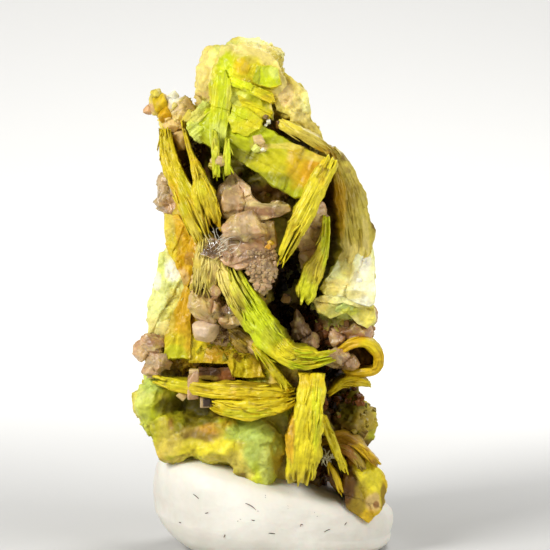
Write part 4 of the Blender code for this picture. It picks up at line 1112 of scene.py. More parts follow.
# %% Table of books
BOOKS = {
    "diagonal_book": dict(
        route=[(2.74, 15.55, -3.3, 0.6, 1.1), (2.2, 14.5, -3.45, 0.72, 1.7), (1.6, 13.3, -3.5, 0.85, 1.9),
            (1.12, 12.36, -3.4, 0.6, 1.8), (0.72, 11.5, -3.1, 0.25, 1.3)],
        plates=9, frayed=(0.1, 0.4), gaps=0.3, splinters=12,
        look=dict(ripe=0.0, low=LEMON, high=BRIGHT_LEMON, deep=GOLD,
            stains=[(2.3, 15.0, 0.2, 0.6, ORANGE, 0.3), (1.3, 12.6, 0.4, 0.8, KHAKI, 0.3)])),
    "bent_book": dict(
        route=[(-1.35, 11.4, -2.7, 0.75, 1.4), (-0.85, 10.3, -3.1, 1.0, 1.6), (-0.2, 9.3, -3.3, 1.15, 1.7),
            (0.4, 8.5, -3.5, 1.05, 1.7), (1.05, 7.95, -3.6, 0.85, 1.7), (1.9, 7.78, -3.6, 0.7, 1.6),
            (2.9, 7.95, -3.5, 0.5, 1.0)],
        plates=12, frayed=(0.3, 0.25), gaps=0.25, splinters=26,
        look=dict(ripe=-0.1, low=BRIGHT_LIME, high=LIME,
            stains=[(0.9, 7.9, 0.8, 0.5, LEMON, 0.8), (2.2, 7.8, 0.8, 0.5, LEMON, 0.9),
                (-1.1, 10.6, 0.5, 0.8, STRAW, 0.6), (0.9, 9.2, 0.4, 0.7, MOSS, 0.8),
                (-0.9, 9.6, 0.35, 0.7, KHAKI, 0.7), (0.2, 8.5, 0.25, 0.6, KHAKI, 0.3)])),
    "standing_book": dict(
        route=[(1.94, 7.2, -3.6, 0.95, 1.5), (1.9, 6.1, -3.7, 1.05, 1.7), (1.7, 5.0, -3.7, 1.4, 1.9),
            (1.56, 4.0, -3.6, 1.3, 1.8), (1.5, 2.85, -3.4, 0.9, 1.3)],
        plates=11, frayed=(0.03, 0.22), gaps=0.2, splinters=14,
        look=dict(ripe=-0.2, low=LEMON, high=BRIGHT_LEMON, streaks=0.3,
            stains=[(1.05, 5.0, 0.25, 1.3, ORANGE, 0.7), (2.1, 5.6, 0.2, 1.6, BRIGHT_LIME, 0.6),
                (1.75, 6.9, 0.8, 0.35, AMBER, 0.4), (1.6, 3.0, 0.7, 0.4, KHAKI, 0.5)])),
    "left_sheaf": dict(
        route=[(-3.8, 16.75, -1.5, 0.45, 1.0), (-3.7, 15.8, -1.7, 0.58, 1.4), (-3.4, 14.9, -2.0, 0.72, 1.5),
            (-2.95, 14.0, -2.4, 0.85, 1.5), (-2.5, 13.0, -2.7, 0.85, 1.5), (-2.05, 12.1, -2.8, 0.65, 1.1)],
        plates=10, frayed=(0.12, 0.3), gaps=0.25, splinters=26,
        look=dict(ripe=0.0, low=LEMON, high=GOLD,
            stains=[(-3.0, 14.2, 0.3, 0.9, LIME, 0.5), (-2.3, 12.8, 0.6, 0.6, STRAW, 0.6)])),
    "inner_sheaf": dict(
        route=[(-3.12, 17.0, -1.9, 0.12, 0.8), (-2.76, 15.75, -2.4, 0.2, 1.0),
            (-2.42, 14.85, -2.7, 0.45, 1.4), (-2.12, 13.8, -2.9, 0.9, 1.5),
            (-1.78, 12.55, -2.9, 0.75, 1.2)],
        plates=9, frayed=(0.1, 0.25), gaps=0.25, splinters=20,
        look=dict(ripe=0.1, low=LEMON, high=GOLD,
            stains=[(-2.1, 13.2, 0.4, 0.8, KHAKI, 0.3), (-2.3, 14.6, 0.3, 0.6, LIME, 0.4)])),
    "crest_book": dict(
        route=[(0.75, 16.9, -2.1, 0.4, 1.0), (1.3, 16.6, -2.3, 0.42, 1.4), (2.0, 16.2, -2.35, 0.42, 1.5),
            (2.6, 15.85, -2.2, 0.36, 1.3)],
        plates=5, frayed=(0.06, 0.06), gaps=0.1,
        look=dict(ripe=0.1, low=STRAW, high=KHAKI, streaks=0.4,
            stains=[(1.2, 16.8, 0.6, 0.25, LEMON, 0.5), (2.3, 15.7, 0.4, 0.3, AMBER, 0.5)])),
    "right_shell_book": dict(
        route=[(2.5, 15.95, -0.9, 0.5, 2.4), (2.92, 14.95, -0.9, 0.9, 2.9), (3.22, 13.6, -0.9, 1.4, 3.2),
            (3.4, 12.4, -0.9, 1.4, 3.2), (3.3, 11.2, -0.9, 1.3, 2.8)],
        edges=(0.25, -1.0, 0.0), plates=8, frayed=(0.05, 0.1), gaps=0.05, uneven=0.05,
        look=dict(ripe=-0.1, low=KHAKI, high=STRAW, deep=BROWN, streaks=0.3,
            # Painted shade: the brown stains darken the inner, shaded side of the shell.
            stains=[(2.6, 14.8, 0.35, 1.3, AMBER, 0.7), (2.75, 13.2, 0.45, 1.7, BROWN, 0.9),
                (3.05, 13.4, 0.25, 1.8, AMBER, 0.6), (3.0, 11.7, 0.4, 0.8, BROWN, 0.6),
                (3.95, 12.8, 0.3, 1.7, STRAW, 0.7), (4.05, 12.5, 0.15, 0.9, CREAM, 0.6),
                (3.3, 11.8, 0.8, 0.7, CREAM, 0.7)])),
    "hanging_blade": dict(
        route=[(2.5, 13.3, -2.5, 0.26, 1.0), (2.48, 12.5, -2.6, 0.36, 1.2), (2.3, 11.8, -2.6, 0.5, 1.4),
            (1.95, 11.0, -2.6, 0.75, 1.5), (1.75, 10.4, -2.6, 0.72, 1.4), (1.6, 9.85, -2.5, 0.4, 1.1)],
        plates=5, frayed=(0.05, 0.2), gaps=0.1, uneven=0.05,
        look=dict(ripe=-0.3, low=LEMON, high=STRAW, streaks=0.15,
            stains=[(2.55, 12.4, 0.25, 1.5, BRIGHT_LIME, 0.8), (1.75, 10.4, 0.4, 0.7, BRIGHT_LIME, 0.6),
                (2.0, 11.2, 0.25, 0.6, KHAKI, 0.5)])),
    "bent_book_flank": dict(
        route=[(-1.75, 11.6, -2.8, 0.5, 1.2), (-1.4, 10.7, -3.0, 0.6, 1.5), (-1.0, 9.9, -3.15, 0.5, 1.5),
            (-0.6, 9.1, -3.1, 0.25, 1.2)],
        plates=6, frayed=(0.15, 0.3), gaps=0.25, splinters=16,
        look=dict(ripe=-0.1, low=STRAW, high=CREAM, stains=[(-1.1, 10.1, 0.25, 0.7, LEMON, 0.5)])),
    "fibrous_book": dict(
        route=[(-2.15, 12.5, -2.6, 0.6, 1.2), (-2.1, 11.6, -2.8, 0.9, 1.5), (-2.2, 10.8, -2.75, 0.9, 1.5),
            (-2.3, 10.1, -2.6, 0.6, 1.2)],
        plates=8, frayed=(0.15, 0.35), gaps=0.3, splinters=40,
        look=dict(ripe=-0.1, low=STRAW, high=CREAM,
            stains=[(-2.5, 11.6, 0.25, 0.6, GOLD, 0.5), (-1.9, 11.0, 0.3, 0.4, PEACH, 0.6),
                (-2.4, 11.0, 0.2, 0.3, KHAKI, 0.5)])),
    "flat_book_low": dict(
        route=[(-1.95, 6.0, -2.9, 0.42, 1.4), (-0.9, 5.78, -3.1, 0.72, 1.7), (0.3, 5.85, -3.2, 0.65, 1.7),
            (1.3, 6.15, -3.1, 0.35, 1.3)],
        plates=6, frayed=(0.2, 0.15), gaps=0.25,
        look=dict(ripe=0.0, low=LEMON, high=GOLD, stains=[(-0.6, 5.6, 1.0, 0.2, LIME, 0.5)])),
    "flat_book_high": dict(
        route=[(-4.15, 6.92, -2.2, 0.4, 1.2), (-2.9, 6.65, -2.6, 0.5, 1.3), (-1.1, 6.48, -2.9, 0.6, 1.6),
            (0.3, 6.42, -3.0, 0.5, 1.6), (1.3, 6.45, -2.9, 0.3, 1.2)],
        plates=6, frayed=(0.12, 0.15), gaps=0.25, splinters=16,
        look=dict(ripe=0.1, low=LEMON, high=GOLD,
            stains=[(-3.5, 6.8, 0.8, 0.3, LIME, 0.5), (-0.5, 6.7, 1.2, 0.12, BROWN, 0.5)])),
    "cross_blade": dict(
        route=[(-0.35, 8.3, -2.9, 0.2, 1.1), (0.42, 7.35, -3.1, 0.34, 1.3), (1.1, 6.45, -3.2, 0.26, 1.1)],
        plates=3, frayed=(0.1, 0.1), look=dict(ripe=0.3, high=GOLD)),
    "splinter_blade": dict(
        route=[(2.35, 5.6, -3.0, 0.2, 0.8), (2.72, 4.6, -3.1, 0.34, 1.1), (3.08, 3.8, -3.1, 0.28, 1.1),
            (3.34, 3.2, -3.0, 0.1, 0.8)],
        plates=3, frayed=(0.1, 0.2), splinters=4, look=dict(ripe=-0.1, low=LEMON, high=LEMON)),
    "lower_splinter": dict(
        route=[(2.6, 3.7, -2.9, 0.1, 0.7), (2.9, 3.1, -3.0, 0.22, 0.9), (3.2, 2.3, -2.9, 0.1, 0.7)],
        plates=2, frayed=(0.1, 0.2), splinters=2, look=dict(ripe=0.4, low=GOLD, high=GOLD)),
    "curled_blade": dict(
        route=[(3.0, 7.95, -1.9, 0.3, 1.2), (3.6, 8.32, -2.0, 0.34, 1.4), (4.2, 8.3, -2.0, 0.36, 1.4),
            (4.6, 7.85, -1.9, 0.36, 1.4), (4.5, 7.3, -1.8, 0.34, 1.3), (3.9, 7.15, -1.7, 0.32, 1.2),
            (3.2, 7.1, -1.6, 0.3, 1.1)],
        plates=3, frayed=(0.05, 0.1), gaps=0.0, splinters=4,
        look=dict(ripe=0.2, low=GOLD, high=AMBER, streaks=0.2, stains=[(4.3, 8.2, 0.5, 0.3, LEMON, 0.7)])),
    "shelf_blade": dict(
        route=[(2.6, 6.3, -1.75, 0.2, 1.5), (3.15, 6.75, -1.8, 0.3, 1.8), (3.7, 6.82, -1.8, 0.32, 1.7),
            (4.3, 6.7, -1.75, 0.2, 1.2)],
        plates=3, frayed=(0.1, 0.15), gaps=0.1, look=dict(ripe=0.2, low=LEMON, high=GOLD)),
    "corner_edge_high": dict(
        route=[(2.4, 4.5, -1.9, 0.3, 1.2), (3.2, 4.55, -2.3, 0.4, 1.4), (3.9, 4.2, -2.5, 0.42, 1.5),
            (4.6, 3.5, -2.5, 0.25, 1.3)],
        plates=4, frayed=(0.05, 0.1), gaps=0.2, splinters=3,
        look=dict(ripe=0.0, low=AMBER, high=GOLD, deep=RUST, streaks=0.3,
            stains=[(3.2, 4.5, 0.6, 0.25, RUST, 0.6)])),
    "corner_edge_low": dict(
        route=[(2.75, 4.15, -2.2, 0.3, 1.2), (3.3, 4.12, -2.6, 0.4, 1.3), (3.75, 3.75, -2.8, 0.35, 1.3),
            (4.05, 3.3, -2.9, 0.2, 1.2)],
        plates=4, frayed=(0.05, 0.1), gaps=0.2, splinters=3,
        look=dict(ripe=0.0, low=BROWN, high=KHAKI, deep=RUST, streaks=0.3)),
    "back_book_high": dict(
        route=[(-0.6, 18.2, 2.3, 0.4, 0.9), (-0.9, 16.8, 2.9, 0.8, 1.5), (-0.9, 15.3, 3.2, 0.9, 1.6),
            (-0.6, 13.9, 3.3, 0.5, 1.3)],
        edges=EDGES_BACK, plates=10, frayed=(0.2, 0.2), look=dict(ripe=0.2)),
    "back_book_slanting": dict(
        route=[(2.3, 14.2, 2.9, 0.5, 1.1), (1.4, 13.0, 3.4, 0.8, 1.5), (0.5, 11.7, 3.6, 0.8, 1.6),
            (-0.4, 10.6, 3.5, 0.4, 1.2)],
        edges=EDGES_BACK, plates=10, frayed=(0.2, 0.2), look=dict(ripe=0.2)),
    "back_book_flat": dict(
        route=[(-3.2, 9.7, 2.8, 0.3, 1.1), (-1.8, 9.3, 3.5, 0.6, 1.5), (-0.2, 9.0, 3.7, 0.6, 1.6),
            (1.2, 8.4, 3.6, 0.3, 1.2)],
        edges=EDGES_BACK, plates=7, frayed=(0.2, 0.2), look=dict(ripe=0.3)),
    "back_book_low": dict(
        route=[(0.6, 7.4, 3.3, 0.5, 1.1), (0.2, 6.0, 3.5, 1.0, 1.5), (-0.3, 4.6, 3.1, 0.6, 1.2)],
        edges=EDGES_BACK, plates=10, frayed=(0.2, 0.2), look=dict(ripe=0.2)),
    "back_book_left": dict(
        route=[(-2.4, 14.9, 2.5, 0.4, 1.0), (-2.6, 13.6, 2.9, 0.8, 1.3), (-2.4, 12.4, 3.0, 0.5, 1.1)],
        edges=EDGES_BACK, plates=8, frayed=(0.2, 0.2), look=dict(ripe=0.2)),
    "back_book_right": dict(
        route=[(2.9, 11.4, 2.5, 0.5, 1.1), (3.0, 10.0, 2.9, 1.1, 1.4), (2.7, 8.6, 2.9, 0.6, 1.2)],
        edges=EDGES_BACK, plates=9, frayed=(0.2, 0.2), look=dict(ripe=0.1, low=LEMON, high=STRAW)),
    "back_book_corner": dict(
        route=[(-3.4, 7.4, 2.5, 0.5, 1.0), (-2.6, 6.2, 3.0, 0.9, 1.3), (-1.6, 5.2, 2.9, 0.5, 1.1)],
        edges=EDGES_BACK, plates=8, frayed=(0.2, 0.2), look=dict(ripe=0.3)),
    "side_book_right": dict(
        route=[(3.5, 9.2, 2.1, 0.5, 0.9), (3.45, 7.8, 2.2, 0.8, 1.1), (3.4, 6.2, 2.0, 0.5, 1.0)],
        edges=(1.0, 0.3, 0.0), plates=9, frayed=(0.2, 0.2), look=dict(ripe=0.2)),
    "side_book_left": dict(
        route=[(-3.3, 12.2, 1.3, 0.5, 0.9), (-3.65, 10.8, 1.5, 0.8, 1.1), (-3.85, 9.3, 1.5, 0.5, 1.0)],
        edges=(-1.0, 0.3, 0.0), plates=9, frayed=(0.2, 0.2), look=dict(ripe=0.2)),
    "standing_blade_left": dict(
        route=[(-1.85, 16.6, -3.3, 0.14, 0.5), (-1.8, 15.7, -3.3, 0.3, 0.6),
            (-1.74, 14.7, -3.2, 0.26, 0.5)],
        plates=2, frayed=(0.1, 0.1), splinters=4, look=dict(ripe=-0.3, low=BRIGHT_LIME, high=STRAW)),
    "standing_blade_right": dict(
        route=[(-1.3, 16.3, -3.2, 0.14, 0.5), (-1.32, 15.5, -3.2, 0.28, 0.6), (-1.3, 14.8, -3.1, 0.2, 0.5)],
        plates=2, frayed=(0.1, 0.1), splinters=4, look=dict(ripe=-0.3, low=BRIGHT_LIME, high=STRAW)),
}

BOOK_SEED = 20
SPLINTER_SEED = 60
USUAL_SPLINTERS = 9
for number, (book_name, book) in enumerate(BOOKS.items()):
    how = {key: book[key] for key in book if key not in ("look", "splinters")}
    look = book["look"]
    book_points, book_faces, values = solid_book(seed=number + BOOK_SEED, **how)
    tint = book_tint(book_points, values, number + BOOK_SEED, **look)
    edges, count = book.get("edges", EDGES_FORWARD), book.get("splinters", USUAL_SPLINTERS)
    loose, loose_faces = splinters_of_book(book["route"], edges, count, number + SPLINTER_SEED)
    loose_cloud = smooth_noise(loose, 0.6, number) * 0.5 + 0.5
    loose_tint = mix(look.get("low", LIME), look.get("high", LEMON), loose_cloud)
    points, faces = joined([(book_points, book_faces), (loose, [loose_faces])])
    mesh = make_mesh(book_name, points, faces, np.concatenate([tint, loose_tint]))
    add_piece(book_name, mesh, plate_material)
print("books:", len(BOOKS), "with plates:", sum(book["plates"] for book in BOOKS.values()))

# %% [markdown]
# ## Faces of plates
#
# At the head, and in a few places lower down, the books turn their broad faces to the viewer. Such a face
# isn't flat: the mineral cleaves in steps, like a stack of paper torn to different sizes. The outline of
# each face is drawn as a few points, and rings that shrink from it to its middle give a grid without any
# gaps at the corners. The height above the face is then a sum: a gentle crown, fine grooves, bricks,
# chips, and steps behind frayed lines. A rough wall runs back from the rim into the mass, so that the face
# is the top of a thick flake and not a loose sheet.

# %% Rings of a face
SPOKES = 180
RINGS = 41


def face_rings(outline, fray, seed):
    """Rings of places on the face: the outline, cut into even steps and frayed by noise, shrunk towards its
    middle. Their sizes follow a sine, so they lie closer together near the rim."""
    corners = np.asarray(outline, float)
    closed = np.concatenate([corners, corners[:1]])
    run = np.concatenate([[0.0], np.cumsum(np.linalg.norm(np.diff(closed, axis=0), axis=1))])
    at = np.linspace(0.0, run[-1], SPOKES, endpoint=False)
    rim = np.stack([np.interp(at, run, closed[:, axis]) for axis in range(2)], axis=-1)
    middle = rim.mean(axis=0)
    rim_place = np.concatenate([rim, np.full((SPOKES, 1), float(seed))], axis=1)
    frays = unit(rim - middle) * (fray * layered_noise(rim_place, 0.45, seed, layers=4))[:, None]
    share = np.sin(np.linspace(0.04, 1.0, RINGS) * math.pi / 2)[:, None, None]
    flat = middle + share * (rim - middle)[None] + share**8 * frays[None]
    return flat, share[..., 0], middle, 2.0 * rim.std(axis=0)

# %% [markdown]
# ## The height of a face
#
# All the terms of the sum are worked out for the whole grid at once, each from the place on the face. The
# grooves and bricks follow the crystal's own direction, so their places are turned by its angle first.

# %% Height of a face
BRICK_HEIGHT = 0.2
BRICK_LENGTH = 0.42
RIM_DROP = 0.12


def turn_flat(flat, angle):
    """Turns a place on the face by an angle in degrees, so that a slanted line lies level."""
    cosine, sine = math.cos(math.radians(angle)), math.sin(math.radians(angle))
    x, y = flat[..., 0], flat[..., 1]
    return np.stack([x * cosine + y * sine, y * cosine - x * sine], axis=-1)


def face_relief(flat, share, middle, half_size, crown, grooves, rough, steps, chips, bricks, seed):
    """The height above the face's plane: grooves, roughness and bricks, less a crown that falls with the
    square of the distance from the middle, plus chips and steps, less a drop at the rim. Each step is a line
    through a place, with an angle, a height and a side; grooves are an angle, a spacing and a height; chips
    are slanted facets; and bricks are small oblong steps along the grooves, each with a random height."""
    place = np.concatenate([flat, np.full(flat.shape[:2] + (1,), float(seed))], axis=-1)
    angle, spacing, groove_height = grooves
    turned = turn_flat(flat, angle)
    groove_place = np.stack([turned[..., 0] * 0.12, turned[..., 1], np.zeros(flat.shape[:2])], axis=-1)
    relief = groove_height * layered_noise(groove_place, spacing, seed + 5, layers=2)
    relief = relief + rough * layered_noise(place, 0.5, seed + 6, layers=4)
    row = np.floor(turned[..., 1] / BRICK_HEIGHT + 0.3 * smooth_noise(place, 0.7, seed + 8))
    brick = np.floor(turned[..., 0] / BRICK_LENGTH + 0.37 * row + 0.3 * smooth_noise(place, 0.7, seed + 9))
    relief = relief + bricks * lattice_random(np.stack([brick, row, np.zeros_like(row)], axis=-1), seed)
    relief = relief - crown * np.minimum((((flat - middle) / half_size) ** 2).sum(axis=-1), 1.5)
    relief = relief + chips * (facet_noise(place, 0.5, seed)[0] + 0.5 * facet_noise(place, 0.22, seed + 1)[0])
    for across, height, step_angle, step_height in steps:
        turned = turn_flat(flat - np.array([across, height]), step_angle)
        line = turned[..., 1] + 0.06 * layered_noise(place, 0.35, seed + 7)
        relief = relief + step_height * ramp(line, 0.0, 0.03)
    return relief - RIM_DROP * ramp(share, 0.965, 1.0) ** 2

# %% [markdown]
# ## The wall behind a face
#
# Seen from the side, a face without a wall would be a sheet in the air. The wall follows the rim back into
# the mass, rough and a little narrower with every ring. The outlines may be drawn either way round, so the
# flake is turned right side out at the end.

# %% Wall of a face
WALL_RINGS = 8
WALL_ROUGHNESS = 0.09
WALL_TAPER = 0.14


def runs_anticlockwise(corners):
    """True when the sum of the cross products of each corner and the side that follows it is positive."""
    sides = np.roll(corners, -1, axis=0) - corners
    return (corners[:, 0] * sides[:, 1] - corners[:, 1] * sides[:, 0]).sum() > 0


def face_wall(rim, middle, rim_deep, rim_relief, thick, inward, seed):
    """The wall behind the rim. It swells and shrinks by noise, tapers with the square of the way inward, and
    loses half of the rim's relief on that way."""
    wall_place = np.stack(np.broadcast_arrays(rim[..., 0], rim[..., 1], seed + thick * inward), axis=-1)
    swell = WALL_ROUGHNESS * layered_noise(wall_place, 0.4, seed + 10, layers=4) * ramp(inward, 0.0, 0.2)
    swell = swell - WALL_TAPER * inward**2
    wall_flat = rim + unit(rim - middle) * swell[..., None]
    wall_deep = rim_deep - rim_relief * (1.0 - 0.5 * inward) + thick * inward
    return front(wall_flat[..., 0], wall_flat[..., 1], wall_deep)


def cleaved_face(
    outline, depth, slope=(0.0, 0.0), thick=0.8, crown=0.15, grooves=(0.0, 0.12, 0.02), rough=0.03,
    fray=0.05, steps=(), chips=0.0, bricks=0.0, seed=0,
):
    """A closed flake: the face and its wall. The outline is across and height as seen from the front. The
    depth is a plane: its value in the middle and how much it grows to the right and upwards. The third
    result is 0 in the middle of the face, 1 at its rim and 2 at the back of the wall."""
    flat, share, middle, half_size = face_rings(outline, fray, seed)
    relief = face_relief(flat, share, middle, half_size, crown, grooves, rough, steps, chips, bricks, seed)
    deep = depth + slope[0] * (flat[..., 0] - middle[0]) + slope[1] * (flat[..., 1] - middle[1])
    surface = front(flat[..., 0], flat[..., 1], deep - relief)
    inward = np.linspace(0.0, 1.0, WALL_RINGS + 1)[1:, None]
    wall = face_wall(flat[-1:], middle, deep[-1:], relief[-1:], thick, inward, seed)
    grid = np.concatenate([surface, wall])
    poles = np.stack([surface[0].mean(axis=0), wall[-1].mean(axis=0)])
    points = np.concatenate([grid.reshape(-1, 3), poles])
    rim_share = np.concatenate([np.repeat(share, SPOKES), np.repeat(1.0 + inward[:, 0], SPOKES), [0.0, 2.0]])
    faces = [grid_faces(RINGS + WALL_RINGS, SPOKES, wrap=True), fan_faces(RINGS + WALL_RINGS, SPOKES)]
    if runs_anticlockwise(np.asarray(outline, float)):
        faces = [part[:, ::-1] for part in faces]
    return points, faces, rim_share

# %% [markdown]
# ## Colours of a face
#
# The faces are paler and more even than the edges of the plates, with a painted pearly sheen in streaks.
# Where a crust has grown over the rim, its colour creeps in from there. The wall behind the face is darkened
# towards its back with painted shade.

# %% Colours of a face
def face_tint(points, rim_share, seed, low=LIME, high=LEMON, stains=(), streaks=(0.0, 0.3), rim=None):
    """Clouds between two colours, faint streaks of painted sheen along the grooves, then the stains. The rim
    may fade into the colour of the crust round it, and the wall behind it is darkened towards its back with
    painted shade."""
    cloud = layered_noise(points, 0.8, seed) * 0.5 + 0.5
    tint = mix(low, high, cloud)
    tint = stained(points, tint, stains)
    if rim is not None:
        worn = rim_share + 0.12 * layered_noise(points, 0.35, seed + 4)
        tint = mix(tint, rim, ramp(worn, 0.9, 1.02) * 0.85)
    flat = np.stack([points[:, 0], front_height(points)], axis=-1)
    turned = turn_flat(flat, streaks[0])
    streak_place = np.stack([turned[:, 0] * 0.15, turned[:, 1], np.full(len(points), float(seed))], axis=-1)
    streak = layered_noise(streak_place, 0.12, seed + 2)
    # Painted sheen: the tint is made lighter and darker in streaks along the grooves.
    tint = tint * (1.0 + streaks[1] * 0.5 * streak)[:, None]
    # Painted shade: the wall darkens towards its back.
    return mix(tint, tint * KHAKI * 2.0, ramp(rim_share, 1.3, 2.0) * 0.8)

# %% [markdown]
# ## Where the faces are
#
# The outlines follow what is seen of each face on the real specimen. A face that is the front of a soft
# crust, not of a plate, takes the waxy material and slanted chips.

